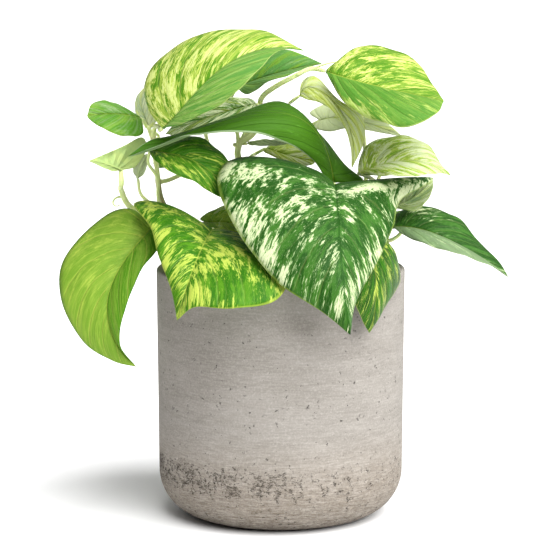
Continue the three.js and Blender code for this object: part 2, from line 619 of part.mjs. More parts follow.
/** Vine: a stem with its petioles joined to it, each stopping just short of its leaf. */
function vineGeometry(vine, surfaces) {
  const stem = curveThrough(vine.path.map(vector));
  const steps = Math.round(stem.getLength() / STEM_STEP);
  const rod = rodGeometry(stem, (t) => vine.radius * (1 - STEM_TAPER * t), steps, STEM_SIDES);
  const joined = vine.petioles.reduce((solid, petiole) => {
    const { ends, rib, meanUp } = surfaces.get(petiole.leaf);
    const ahead = rib.getTangentAt(LEAF_LEAN_SHARE);
    const lean = meanUp.clone().projectOnPlane(ahead).normalize();
    const arrive = petiole.arrive ? vector(petiole.arrive).normalize() : lean.add(ahead).normalize();
    const end = ends[0].clone().addScaledVector(arrive, -(petiole.stop ?? PETIOLE_STOP));
    const approach = end.clone().addScaledVector(arrive, -PETIOLE_APPROACH);
    const route = curveThrough([
      stem.getPointAt(petiole.at), ...petiole.via.map(vector), approach, end,
    ]);
    const radiusAt = (t) => petiole.radius * (1 - PETIOLE_END_SHRINK * t ** 4);
    const bends = Math.max(PETIOLE_FEWEST_STEPS, Math.round(route.getLength() / PETIOLE_STEP));
    return solid.add(toSolid(rodGeometry(route, radiusAt, bends, PETIOLE_SIDES)));
  }, toSolid(rod));
  return fromSolid(joined);
}

/** The whole plant in its pot. */
function buildPlant() {
  const group = new THREE.Group();
  group.add(part('pot', potGeometry(), CONCRETE, MATT));
  group.add(part('soil', soilGeometry(), SOIL, MATT));
  const leaves = [
    ...SHOWN_LEAVES,
    ...BACK_LEAVES.map((leaf) => ({ ...leaf, rib: droopingRib(leaf), colour: FRESH }))
      .map((leaf) => ({ ...leaf, ...heartMargins(leaf) })),
  ];
  const surfaces = new Map(leaves.map((leaf) => [leaf.name, bladeSurface(leaf)]));
  for (const vine of VINES) {
    group.add(part(vine.name, vineGeometry(vine, surfaces), STEM_GREEN, SATIN));
  }
  for (const leaf of leaves) {
    const blade = sheetGeometry(surfaces.get(leaf.name), BLADE_THICKNESS);
    group.add(part(leaf.name, blade, leaf.colour, WAXY));
  }
  return group;
}

export default buildPlant();
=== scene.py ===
"""A marble queen pothos in a round pot of pale washed concrete, on a white studio floor."""

import math

import bpy
import mathutils
import numpy as np
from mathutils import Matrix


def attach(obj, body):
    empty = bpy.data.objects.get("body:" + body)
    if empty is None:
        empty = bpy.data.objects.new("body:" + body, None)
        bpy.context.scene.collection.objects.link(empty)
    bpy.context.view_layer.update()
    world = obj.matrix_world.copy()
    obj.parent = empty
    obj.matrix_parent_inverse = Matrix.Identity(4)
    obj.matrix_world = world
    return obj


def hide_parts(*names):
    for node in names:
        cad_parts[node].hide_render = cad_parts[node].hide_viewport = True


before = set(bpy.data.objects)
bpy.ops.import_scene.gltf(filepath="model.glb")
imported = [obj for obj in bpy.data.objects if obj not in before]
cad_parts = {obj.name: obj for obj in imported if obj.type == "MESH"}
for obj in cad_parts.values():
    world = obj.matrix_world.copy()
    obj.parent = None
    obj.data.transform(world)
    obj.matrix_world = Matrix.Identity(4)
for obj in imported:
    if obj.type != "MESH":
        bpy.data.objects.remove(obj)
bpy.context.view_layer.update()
MM = 0.001

# Pot
# One thick-walled casting of pale washed concrete, straight sided, with a large round foot
# fillet and an eased rim. The mould leaves faint rings round the wall, and air trapped low in
# the mix leaves a ragged belt of pits near the foot.

POT_HEIGHT = 151
POT_TOP_RADIUS = 75
POT_BASE_RADIUS = 74
POT_FILLET = 28
POT_WALL = 8
POT_FLOOR = 9
POT_INNER_FILLET = 20
RIM_EASE = 1.6
POT_SIDES = 192
POT_SWELL = 0.12
# Faint damp stain marks on the front, and (third) a broad painted shadow of the leaves on the left:
# x and height of the middle and reach both ways in metres, amount.
STAINS_AND_PAINTED_SHADOW = (
    (0.012, 0.128, 0.016, 0.007, 0.5),
    (0.03, 0.115, 0.02, 0.006, 0.25),
    # Painted shadow of the leaves on the left, laid on the wall like a stain.
    (-0.052, 0.105, 0.03, 0.05, 0.3),
    (0.035, 0.05, 0.03, 0.006, 0.2),
)


def srgb(code):
    """Linear RGBA of a colour written as six hexadecimal digits."""
    channels = [int(code[i : i + 2], 16) / 255 for i in (0, 2, 4)]
    linear = [c / 12.92 if c <= 0.04045 else ((c + 0.055) / 1.055) ** 2.4 for c in channels]
    return (*linear, 1)


class Signal:
    """One value running through a finish. Each operator adds a Math node to the finish."""

    def __init__(self, finish, socket):
        self.finish, self.socket = finish, socket

    def math(self, operation, *others, clamp=False):
        setup = {"operation": operation, "use_clamp": clamp}
        return self.finish.node("ShaderNodeMath", setup, dict(enumerate((self, *others))))

    def __add__(self, other):
        return self.math("ADD", other)

    def __sub__(self, other):
        return self.math("SUBTRACT", other)

    def __rsub__(self, other):
        return self.math("MULTIPLY_ADD", -1, other)

    def __mul__(self, other):
        return self.math("MULTIPLY", other)

    def __truediv__(self, other):
        return self.math("DIVIDE", other)

    def __pow__(self, other):
        return self.math("POWER", other)

    __radd__, __rmul__ = __add__, __mul__

    def size(self):
        return self.math("ABSOLUTE")

    def clip(self):
        return self.math("ADD", 0, clamp=True)

    def rise(self, start, end):
        """Smooth climb from 0 at start to 1 at end, or fall where end lies below start."""
        if start > end:
            return 1 - self.rise(end, start)
        setup = {"interpolation_type": "SMOOTHSTEP"}
        return self.finish.node("ShaderNodeMapRange", setup, {0: self, 1: start, 2: end})


class Finish:
    """A material with one Principled shader, and the short ways to build what feeds it."""

    def __init__(self, name, **uniform):
        self.material = bpy.data.materials.new(name)
        self.material.use_nodes = True
        self.tree = self.material.node_tree
        self.shader = self.tree.nodes["Principled BSDF"]
        for socket, value in uniform.items():
            self.shader.inputs[socket.replace("_", " ")].default_value = value

    def node(self, kind, setup=None, values=None, output=0):
        """Adds a node: its settings first, then the values or links of its sockets."""
        made = self.tree.nodes.new(kind)
        for key, value in (setup or {}).items():
            setattr(made, key, value)
        for key, value in (values or {}).items():
            if isinstance(value, Signal):
                self.tree.links.new(value.socket, made.inputs[key])
            else:
                made.inputs[key].default_value = value
        return Signal(self, made.outputs[output])

    def feed(self, **links):
        for socket, signal in links.items():
            self.tree.links.new(signal.socket, self.shader.inputs[socket.replace("_", " ")])

    def coats(self, tone, *layers):
        """A colour with others laid over it in turn, each given with its share."""
        tone = srgb(tone)
        for share, code in layers:
            values = {0: share, 6: tone, 7: srgb(code)}
            tone = self.node("ShaderNodeMix", {"data_type": "RGBA"}, values, output=2)
        return tone

    def place(self):
        """The point on the piece, in metres."""
        return self.node("ShaderNodeTexCoord", output=3)

    def split(self, vector):
        return [self.node("ShaderNodeSeparateXYZ", None, {0: vector}, i) for i in range(3)]

    def uv(self, name):
        """Both values of one of the piece's UV maps."""
        return self.split(self.node("ShaderNodeUVMap", {"uv_map": name}))[:2]

    def join(self, x, y, z):
        return self.node("ShaderNodeCombineXYZ", None, {0: x, 1: y, 2: z})

    def noise(self, vector, scale, detail=2, roughness=0.5, distortion=0):
        values = {"Vector": vector, "Scale": scale, "Detail": detail, "Roughness": roughness,
                  "Distortion": distortion}
        return self.node("ShaderNodeTexNoise", None, values)

    def spot(self, first, second, middle, reach):
        """Soft round patch, exp(-d^2), with d counted in reaches from its middle."""
        away = [((way - middle[i]) / reach[i]) ** 2 for i, way in enumerate((first, second))]
        return ((away[0] + away[1]) * -1).math("EXPONENT")

    def bump(self, height, distance, strength=1):
        values = {"Strength": strength, "Distance": distance, "Height": height}
        self.feed(Normal=self.node("ShaderNodeBump", None, values))


def put(name, data):
    """A new object in the scene, at the origin."""
    made = bpy.data.objects.new(name, data)
    bpy.context.scene.collection.objects.link(made)
    return made


def surface(name, points, faces, maps=None, finish=None, replaces=(), slot=None, smooth=True):
    """A piece from its points in millimetres and its faces, with its UV maps given per point."""
    mesh = bpy.data.meshes.new(name)
    mesh.from_pydata(points * MM, [], sum((group.tolist() for group in faces), []))
    corners = np.concatenate([group.ravel() for group in faces])
    for layer, values in (maps or {}).items():
        uv = mesh.uv_layers.new(name=layer)
        uv.data.foreach_set("uv", values[corners].astype(np.float32).ravel())
    mesh.validate()
    mesh.polygons.foreach_set("use_smooth", np.full(len(mesh.polygons), smooth))
    mesh.materials.append(finish.material)
    piece = put(name, mesh)
    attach(piece, "root")
    if replaces:
        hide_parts(*replaces)


def arc(centre, radius, start, end, steps):
    """Points [radius, height] along a circular arc between two angles in quarter turns."""
    angle = np.linspace(start, end, steps + 1) * math.pi / 2
    return np.stack([centre[0] + radius * np.cos(angle), centre[1] + radius * np.sin(angle)], 1)


def straight(start, end, steps):
    """Points between two points, both left out."""
    share = np.linspace(0, 1, steps + 1)[1:-1, None]
    return np.asarray(start) * (1 - share) + np.asarray(end) * share


def closed(foot, rings, crown):
    """Closed body: rings of equally many points, joined in turn, with a pole at each end."""
    rows, sides = rings.shape[:2]
    points = np.concatenate([[foot], rings.reshape(-1, 3), [crown]])
    index = 1 + np.arange(rows * sides).reshape(rows, sides)
    ahead = np.roll(index, -1, 1)
    quads = np.stack([index[:-1], ahead[:-1], ahead[1:], index[1:]], 2).reshape(-1, 4)
    foot_fan = np.stack([np.zeros(sides, int), ahead[0], index[0]], 1)
    crown_fan = np.stack([np.full(sides, len(points) - 1), index[-1], ahead[-1]], 1)
    return points, [quads, np.concatenate([foot_fan, crown_fan])]


def turned(profile, sides, swell):
    """Profile [radius, height] carried once round Z, from pole to pole, a little out of round."""
    angle = np.arange(sides) / sides * 2 * math.pi
    radius, height = profile[1:-1].T[..., None]
    wave = swell * (np.sin(2 * angle + 0.6) + 0.5 * np.sin(3 * angle + 2))
    radius = radius + wave * np.clip(radius / POT_TOP_RADIUS, 0, 1)
    rings = np.stack([radius * np.cos(angle), radius * np.sin(angle), height + 0 * angle], 2)
    return closed((0, 0, profile[0][1]), rings, (0, 0, profile[-1][1]))


fillet_centre = (POT_BASE_RADIUS - POT_FILLET, POT_FILLET)
rim_outer = (POT_TOP_RADIUS - RIM_EASE, POT_HEIGHT - RIM_EASE)
rim_inner = (POT_TOP_RADIUS - POT_WALL + RIM_EASE, POT_HEIGHT - RIM_EASE)
inner_centre = (POT_BASE_RADIUS - POT_WALL - POT_INNER_FILLET, POT_FLOOR + POT_INNER_FILLET)
inner_foot = (POT_BASE_RADIUS - POT_WALL, POT_FLOOR + POT_INNER_FILLET)
pot_profile = np.concatenate([
    [[0, 0]],
    straight((0, 0), (fillet_centre[0], 0), 5),
    arc(fillet_centre, POT_FILLET, -1, 0, 22),
    straight((POT_BASE_RADIUS, POT_FILLET), (POT_TOP_RADIUS, rim_outer[1]), 30),
    arc(rim_outer, RIM_EASE, 0, 1, 6),
    straight((rim_outer[0], POT_HEIGHT), (rim_inner[0], POT_HEIGHT), 4),
    arc(rim_inner, RIM_EASE, 1, 2, 6),
    straight((rim_inner[0] - RIM_EASE, rim_inner[1]), inner_foot, 8),
    arc(inner_centre, POT_INNER_FILLET, 0, -1, 8),
    [[0, POT_FLOOR]],
])

concrete = Finish("washed_concrete", Roughness=0.92, Specular_IOR_Level=0.25)
at = concrete.place()
x, y, z = concrete.split(at)
height = z / (POT_HEIGHT * MM)


def ringed(squash, scale, detail, roughness, distortion=0):
    """Noise drawn out level round the wall, the more the taller it is squashed."""
    return concrete.noise(concrete.join(x, y, z * squash), scale, detail, roughness, distortion)


brushed = ringed(7, 26, 5, 0.6, 0.4)
brushed_fine = ringed(9, 120, 3, 0.6)
cloud = ringed(1.6, 17, 3, 0.55, 0.6)
sand = concrete.noise(at, 900, 2, 0.7)
low = height.rise(0.45, 0.1)
belt = height.rise(0.13, 0.19) * height.rise(0.3, 0.24)
leftward = (x * -9 + 0.5).clip()
ragged = ringed(1.6, 45, 4, 0.65, 0.6)
net = ringed(1.9, 210, 5, 0.66, 1.4)
gaps = concrete.noise(at, 300, 3, 0.6)
holes = ringed(1.6, 560, 4, 0.7, 0.6)
chance = (0.5 + 0.5 * ragged.rise(0.36, 0.6)) * (
    belt * (0.42 + 0.75 * leftward) + 0.35 * height.rise(0.22, 0.04)
)
thread = (1 - (net - 0.5).size() * 22).rise(0.2, 0.6)
cracks = thread * (gaps + chance * 0.2).rise(0.65, 0.69)
pits = (cracks + (holes + chance * 0.16).rise(0.7, 0.725)).clip()
grit = ringed(3.4, 300, 4, 0.72)
front = y.rise(0.02, -0.02) * (0.4 + 0.6 * brushed_fine)
# The third entry is painted shadow; the others are damp stain marks.
stains_and_painted_shadow = [(concrete.spot(x, z, s[:2], s[2:4]) * front * s[4], "5a534b") for s in STAINS_AND_PAINTED_SHADOW]
veil = (0.5 + (brushed - 0.5) * 0.9 + (cloud - 0.5) * 0.8).clip()
concrete.feed(Base_Color=concrete.coats(
    "76716a",
    (veil, "948f89"),
    *stains_and_painted_shadow,
    (low * 0.7, "867b6e"),  # warmer towards the foot
    (height.rise(0.28, 0.04) * 0.55, "5e5448"),  # painted shade: darker up from the foot, where the wall turns under
    (height.rise(0.1, 0) * 0.6, "4a4138"),  # painted shade under the foot
    ((brushed_fine - 0.42).clip() * (0.5 + 0.5 * low), "c9c4bc"),  # pale bloom on the rings
    (((sand - 0.46) * 3.2).clip() * 0.22, "cfcac3"),  # sand grains
    (pits * 0.92, "1c1712"),
    (belt * ragged.rise(0.4, 0.6) * 0.25, "6c6257"),  # dirt round the pits
    (grit.rise(0.54, 0.68) * low * 0.5, "4c4238"),  # dark grit
    (grit.rise(0.46, 0.32) * low * 0.35, "b8aea0"),  # pale grit
))
relief = brushed * 0.3 + brushed_fine * 0.16 + sand * 0.14 + grit * low * 0.9 - pits * 1.5
concrete.bump(relief, 0.0009, 0.7)

points, faces = turned(pot_profile, POT_SIDES, POT_SWELL)
surface("pot_body", points, faces, finish=concrete, replaces=["pot"], slot="concrete")

# Potting mix
# Moist peat and bark chips, lightly heaped in the middle. Crumbs of bark and a few white grains
# of perlite lie loose on top.

SOIL_RIM_LEVEL = 131
SOIL_MIDDLE_LEVEL = 133
SOIL_RADIUS = 66.3
SOIL_BARE_EDGE = 2.5
BED_FOOT = np.asarray([(46, 9.6), (60, 15), (65.8, 30), (66, 60)])


def soil_level(x, y):
    """Height of the soil: a low dome with a few rounded swells."""
    radius = np.hypot(x, y) / SOIL_RADIUS
    dome = SOIL_MIDDLE_LEVEL - (SOIL_MIDDLE_LEVEL - SOIL_RIM_LEVEL) * radius**2
    swell = np.sin(x * 0.21 + 1) * np.cos(y * 0.17) + 0.6 * np.sin(x * 0.08 - y * 0.31)
    return dome + 0.45 * swell * (1 - radius**4)


def bed(sides, rows):
    """Closed disc: rings up the pot's own inner form, then inwards over the top at soil_level."""
    angle = np.arange(sides) / sides * 2 * math.pi
    inwards = SOIL_RADIUS * np.linspace(1, 0, rows + 1)[:-1]
    radius = np.concatenate([BED_FOOT[:, 0], inwards])[:, None]
    x, y = radius * np.cos(angle), radius * np.sin(angle)
    z = soil_level(x, y)
    z[: len(BED_FOOT)] = BED_FOOT[:, 1:]
    return closed((0, 0, BED_FOOT[0, 1]), np.stack([x, y, z], 2), (0, 0, soil_level(0, 0)))


PEBBLE = np.asarray(
    [[1, 0, 0], [-1, 0, 0], [0, 1, 0], [0, -1, 0], [0, 0, 1], [0, 0, -1]]
    + [[i, j, k] for i in (-0.62, 0.62) for j in (-0.62, 0.62) for k in (-0.62, 0.62)]
)


def pebble_faces():
    """Faces of a cube whose six sides are raised to a point: 24 triangles, seen from outside."""
    faces = []
    for pole in range(6):
        axis, sign = pole // 2, 1 - 2 * (pole % 2)
        around = [i for i in range(6, 14) if PEBBLE[i][axis] * sign > 0]
        u, v = (axis + 1) % 3, (axis + 2) % 3
        around.sort(key=lambda i: math.atan2(PEBBLE[i][v], PEBBLE[i][u]) * sign)
        faces += [[pole, around[i], around[(i + 1) % 4]] for i in range(4)]
    return np.asarray(faces)


def scatter_pebbles(places, sizes, stretch, draw):
    """Pebbles at the given places, each turned at random, stretched and knocked out of round."""
    count = len(places)
    turn, _ = np.linalg.qr(draw.normal(size=(count, 3, 3)))
    turn *= np.sign(np.linalg.det(turn))[:, None, None]
    shape = PEBBLE * (1 + draw.uniform(-0.22, 0.22, (count, len(PEBBLE), 1)))
    shape = shape * (1 + draw.uniform(-stretch, stretch, (count, 1, 3))) * sizes[:, None, None]
    points = np.einsum("nij,nkj->nki", turn, shape) + places[:, None]
    faces = pebble_faces() + np.arange(count)[:, None, None] * len(PEBBLE)
    return points.reshape(-1, 3), [faces.reshape(-1, 3)]


def strewn(count, draw, sink):
    """Random places on the bed, spread evenly over its area."""
    radius = (SOIL_RADIUS - SOIL_BARE_EDGE) * np.sqrt(draw.uniform(0, 1, count))
    angle = draw.uniform(0, 2 * math.pi, count)
    x, y = radius * np.cos(angle), radius * np.sin(angle)
    return np.stack([x, y, soil_level(x, y) + sink], 1)


peat = Finish("potting_mix", Roughness=0.95, Specular_IOR_Level=0.2)
at = peat.place()
clods = peat.noise(at, 260, 5, 0.7, 0.5)
shreds = peat.noise(at, 900, 3, 0.7)
chips = shreds.rise(0.55, 0.8) * 0.6
peat.feed(Base_Color=peat.coats("2a1c14", (clods.rise(0.35, 0.68), "5b4334"), (chips, "8a6d54")))
peat.bump(clods + shreds * 0.4, 0.0022)

bark = Finish("bark_crumbs", Roughness=0.9, Specular_IOR_Level=0.25)
at = bark.place()
patches = bark.noise(at, 170, 2).rise(0.35, 0.65)
splinters = bark.noise(at, 1400, 3, 0.7).rise(0.5, 0.75) * 0.5
bark.feed(Base_Color=bark.coats("33221a", (patches, "7a5a42"), (splinters, "a08568")))
bark.bump(bark.noise(at, 1500, 3, 0.7), 0.0005)

white_grain = Finish("perlite", Roughness=0.85)
at = white_grain.place()
dust = white_grain.noise(at, 900, 3).rise(0.4, 0.7)
white_grain.feed(Base_Color=white_grain.coats("e9e6df", (dust, "c5bcae")))
white_grain.bump(white_grain.noise(at, 1600, 2), 0.0004)

points, faces = bed(96, 30)
surface("soil_bed", points, faces, finish=peat, replaces=["soil"], slot="soil")
draw = np.random.default_rng(41)
for name, finish, count, sizes, stretch, sink in (
    ("soil_crumbs", bark, 900, (0.5, 1.9), 0.4, 0.1),
    ("soil_perlite", white_grain, 46, (0.7, 1.5), 0.2, 0.5),
):
    places = strewn(count, draw, sink)
    points, faces = scatter_pebbles(places, draw.uniform(*sizes, count), stretch, draw)
    surface(name, points, faces, finish=finish, slot="soil", smooth=finish is white_grain)

# Leaf blades
# Thin waxy blades, heart shaped with a drawn-out tip. Each is one skin folded a little along
# its midrib, with side veins that leave the midrib and sweep forward to the margin. The pale
# marbling is streaks of leaf without green, and it follows those veins.

BLADE_ROWS = 60
BLADE_HALF_COLUMNS = 17
BLADE_THICKNESS = 0.5
BLADE_BULGE = 0.08
EDGE_THINNING = 0.65
ROW_CROWDING = 1.7
VEINS = 8
VEIN_SWEEP = 1.7
FOLD_HEIGHT = 0.16
RIPPLE_HEIGHT = 0.5
FULL_RELIEF_WIDTH = 25
GROOVE_DEPTH, GROOVE_WIDTH = 0.55, 0.9
KEEL_DEPTH, KEEL_WIDTH = 0.75, 0.95
LEAF_TONES = {
    "shade": "163406", "bottle": "1c460f", "forest": "34621e", "fern": "3a6412", "moss": "2a600a",
    "grass": "467a14", "jade": "4c7e38", "meadow": "648c28", "lime": "88a23c", "citron": "a8b84c",
    "straw": "c4d07c", "olive": "8c9c48", "sage": "7a9660", "mist": "a0b48c", "cream": "c4cea2",
}


def unit(vectors):
    """Vectors scaled to length one."""
    return vectors / np.maximum(np.linalg.norm(vectors, axis=-1, keepdims=True), 1e-9)


def by_length(curve, shares):
    """Points and directions at shares of the length of a dense polyline, and that length."""
    run = np.concatenate([[0], np.cumsum(np.linalg.norm(np.diff(curve, axis=0), axis=1))])
    where = np.asarray(shares) * run[-1]
    slope = np.gradient(curve, run, axis=0)
    points, ahead = (
        np.stack([np.interp(where, run, values[:, i]) for i in range(3)], 1)
        for values in (curve, slope)
    )
    return points, unit(ahead), run[-1]


def smooth_line(points, steps=40):
    """Dense Catmull-Rom curve through the points, its end segments mirrored at both ends."""
    p = np.asarray(points, float)
    p = np.concatenate([[2 * p[0] - p[1]], p, [2 * p[-1] - p[-2]]])
    t = np.linspace(0, 1, steps, endpoint=False)[None, :, None]
    a, b, c, d = (p[i : len(p) - 3 + i, None] for i in range(4))
    body = 0.5 * (2 * b + (c - a) * t + (2 * a - 5 * b + 4 * c - d) * t**2
                  + (3 * b - a - 3 * c + d) * t**3)
    return np.concatenate([body.reshape(-1, 3), p[-2:-1]])


def rib_line(rib):
    """Dense cubic that passes the midrib's four points at thirds of its parameter."""
    a, b, c, d = np.asarray(rib, float)
    first = -5 / 6 * a + 3 * b - 3 / 2 * c + 1 / 3 * d
    second = 1 / 3 * a - 3 / 2 * b + 3 * c - 5 / 6 * d
    t = np.linspace(0, 1, 200)[:, None]
    return (1 - t) ** 3 * a + 3 * (1 - t) ** 2 * t * first + 3 * (1 - t) * t**2 * second + t**3 * d


def margin_points(leaf, shares):
    """Both margins at shares of their length, from the foot of the midrib to its tip."""
    foot, tip = leaf["rib"][0], leaf["rib"][3]
    return [by_length(smooth_line([foot, *side, tip]), shares)[0] for side in leaf["margins"]]


def vein_phase(u, w):
    """Counts side veins along the blade; one vein keeps one value from midrib to margin."""
    return u - VEIN_SWEEP * w * u**2 * (1 - u)


def blade(leaf, bulge, draw):
    """
    Skin of a leaf on a grid. Row u joins the midrib at u^crowding to both margins at u, by arc
    length. Each half row is lifted by 4 * bulge * width * w * (1 - w), w from rib to margin, and
    carries a groove over the midrib, a shallow fold at each side vein and a ripple that grows
    towards the margin.
    """
    u = np.linspace(0, 1, BLADE_ROWS)
    s = np.linspace(0, 1, BLADE_HALF_COLUMNS + 1)
    w = 0.3 * s + 0.7 * s**1.8
    middle, ahead, length = by_length(rib_line(leaf["rib"]), u**ROW_CROWDING)
    margins = margin_points(leaf, u)
    up = unit(np.cross(margins[1] - margins[0], ahead))
    mean = unit(up[1:-1].sum(0))
    up[0] = up[-1] = mean
    up = unit(up + mean)
    halves = []
    phases = draw.uniform(0, 2 * math.pi, (2, 3))
    for side, margin, swell, phase in zip((-1, 1), margins, bulge, phases):
        width = np.linalg.norm(margin - middle, axis=1)[:, None]
        grid = middle[:, None] * (1 - w[:, None]) + margin[:, None] * w[:, None]
        q = vein_phase(u[:, None], w)
        wave = np.sin(7 * math.pi * u + phase[0]) + 0.6 * np.sin(12 * math.pi * u + phase[1])
        fold = np.cos(2 * math.pi * (q * VEINS + 0.5)) * np.minimum(w * 4, 1) * (1 - w**4)
        inside = (4 * u * (1 - u))[:, None] ** 0.5 * np.minimum(width / FULL_RELIEF_WIDTH, 1)
        lift = 4 * swell * width * w * (1 - w)
        lift += inside * (RIPPLE_HEIGHT * wave[:, None] * w**2 + FOLD_HEIGHT * fold)
        lift -= GROOVE_DEPTH * np.exp(-((w * width / GROOVE_WIDTH) ** 2)) * (1 - u[:, None]) ** 0.5
        grid = grid + up[:, None] * lift[..., None]
        halves.append((grid, q, side * w * width, side * w + 0 * width))
    grid, q, out, share = (np.concatenate([a[:, :0:-1], b], 1) for a, b in zip(*halves))
    vein = np.stack([out / 100, q * length / 100], 2)
    place = np.stack([share * 0.5 + 0.5, np.repeat(u[:, None], share.shape[1], 1)], 2)
    return grid, vein, place, mean


def skin(grid, vein, place, mean):
    """Closed blade: the grid set off both ways along its normals, thinner towards the margin."""
    rows, columns = grid.shape[:2]
    normal = unit(np.cross(np.gradient(grid, axis=1), np.gradient(grid, axis=0)))
    normal[0] = normal[-1] = mean
    share = np.abs(place[..., 0] * 2 - 1)[..., None]
    half = BLADE_THICKNESS / 2 * (1 - EDGE_THINNING * share**5)
    keel = KEEL_DEPTH * np.exp(-((vein[..., :1] * 100 / KEEL_WIDTH) ** 2))
    keel = keel * (1 - place[..., 1:]) ** 0.7
    keel[[0, -1]] = 0

    def pack(*sheets):
        parts = [[v[0, :1], v[1:-1].reshape(-1, v.shape[2]), v[-1, :1]] for v in sheets]
        return np.concatenate(sum(parts, []))

    points = pack(grid + normal * half, grid - normal * (half + keel))
    maps = {"vein": pack(vein, vein), "place": pack(place, place + np.asarray([2, 0]))}
    index = 1 + np.arange((rows - 2) * columns).reshape(rows - 2, columns)
    a, b, c, d = index[:-1, :-1], index[:-1, 1:], index[1:, 1:], index[1:, :-1]
    quads = np.stack([a, b, c, d], 2).reshape(-1, 4)
    tip = (rows - 2) * columns + 1
    first, last = index[0], index[-1]
    foot_fan = np.stack([np.zeros(columns - 1, int), first[1:], first[:-1]], 1)
    tip_fan = np.stack([last[:-1], last[1:], np.full(columns - 1, tip)], 1)
    fans = np.concatenate([foot_fan, tip_fan])
    loop = np.concatenate([[0], index[:, -1], [tip], index[::-1, 0]])
    after = np.roll(loop, -1)
    under = tip + 1
    wall = np.stack([after, loop, loop + under, after + under], 1)
    return points, [quads, quads[:, ::-1] + under, fans, fans[:, ::-1] + under, wall], maps


def leaf_finish(
    name, length, seed, tones, cover, contrast=3.8, soft=0.035, grain=1, spots=(), shaded=(),
    wash=None, veins=("straw", 0.05), midrib=("citron", 0.25), rim=("straw", 0.35), rim_from=0.965,
):
    """
    Marbled leaf skin. Two greens lie in soft clouds, and streak noise that is drawn out along the
    side veins thins them to a third tone and then to a fourth without green, with a fine grit of
    the first and third over all. cover says how pale each half is, contrast and soft how much and
    how sharply it changes, grain how long the streaks are. A spot (w, u, reach across, reach
    along, amount) is paler or greener, and a shaded one is painted shade, darker towards the
    shade tone. The tint laid over the right half is painted light: painted sheen where its tone
    is pale, painted shade where it is dark.
    """
    leaf = Finish(name, Specular_IOR_Level=0.08)
    out, run = leaf.uv("vein")
    across, u = leaf.uv("place")
    under = across.math("GREATER_THAN", 1.5)
    w = (across - under * 2) * 2 - 1
    right = out.math("GREATER_THAN", 0)

    def marbling(stretch, offset, size, detail, distortion):
        point = leaf.join(out, run * (stretch * grain), seed + offset)
        return leaf.noise(point, size * grain**-0.4, detail, 0.68, distortion)

    patch = marbling(1.6, 0, 11, 2, 0.4)
    streak = marbling(3.2, 3, 26, 6, 0.5)
    fleck = marbling(2.4, 7, 70, 5, 0.4)
    cloud = marbling(1.8, 11, 9, 4, 0.6)
    grit = marbling(2.4, 17, 105, 4, 0.3)
    level = right * (cover[1] - cover[0]) + cover[0]
    for spot in spots:
        level = level + leaf.spot(w, u, spot[:2], spot[2:4]) * spot[4]
    pale = (patch * 0.4 + streak * 0.36 + fleck * 0.24 - 0.5) * contrast + level

    count = run * (100 / length)
    waver = (leaf.noise(leaf.join(out, run, seed), 14, 1) - 0.5) * 0.02
    open_half = w.size().rise(0.02, 0.12) * w.size().rise(1, 0.86)

    def beside(number):
        return (((count + waver) * number + 0.5).math("FRACT") - 0.5).size()

    quilt = beside(VEINS)
    side_veins = quilt.rise(VEINS / length, 0) * open_half
    fine_veins = beside(VEINS * 3).rise(VEINS * 1.6 / length, 0) * open_half
    rib = out.size().rise(0.009, 0.003)
    edge = w.size().rise(rim_from, rim_from + 0.025)

    full, fresh, thin, bare = tones.split()
    layers = [
        (cloud.rise(0.45, 0.58), fresh),
        (pale.rise(0.5 - soft, 0.5 + soft), thin),
        (pale.rise(0.62 - soft, 0.62 + soft), bare),
        (grit.rise(0.54, 0.66) * 0.45, full),
        (grit.rise(0.46, 0.36) * 0.3, thin),
        # Shaded spots: painted shade, darkened towards the shade tone.
        *[(leaf.spot(w, u, spot[:2], spot[2:4]) * spot[4], "shade") for spot in shaded],
        # Right-half tint: painted sheen with a pale tone, painted shade with a dark one.
        *([(right * wash[1], wash[0])] if wash else []),
        (side_veins * veins[1], veins[0]),
        (fine_veins * 0.55 * veins[1], veins[0]),
        (rib * midrib[1], midrib[0]),
        (edge * rim[1], rim[0]),
        (under * 0.45, "mist"),
    ]
    layers = [(share, LEAF_TONES[tone]) for share, tone in layers]
    blotch = leaf.noise(leaf.join(out, run, seed + 5), 30, 2)
    leaf.feed(
        Base_Color=leaf.coats(LEAF_TONES[full], *layers),
        Roughness=blotch * 0.16 + 0.34 + under * 0.15,
    )
    pores = leaf.noise(leaf.join(out, run, seed), 420, 2, 0.6)
    relief = quilt * 1.5 * open_half - side_veins * 0.6 - fine_veins * 0.3 - rib * 0.8
    leaf.bump(relief * (1 - under * 2) + pores * 0.12 + streak * 0.5, 0.0004, 0.9)
    return leaf


# Each leaf's midrib, margins and look, for its stalk and for the leaves behind.
leaves = {}


def grow(name, slot, seed, rib, left, right, bulge=(BLADE_BULGE, BLADE_BULGE), **look):
    """One leaf: its skin on the grid, in its own finish, in place of the plain blade."""
    leaf = leaves[name] = {"rib": rib, "margins": (left, right), "look": look}
    points, faces, maps = skin(*blade(leaf, bulge, np.random.default_rng(seed)))
    finish = leaf_finish("skin_" + name, by_length(rib_line(rib), [0])[2], seed * 1.7, **look)
    surface("blade_" + name, points, faces, maps, finish, ["leaf_" + name], slot)
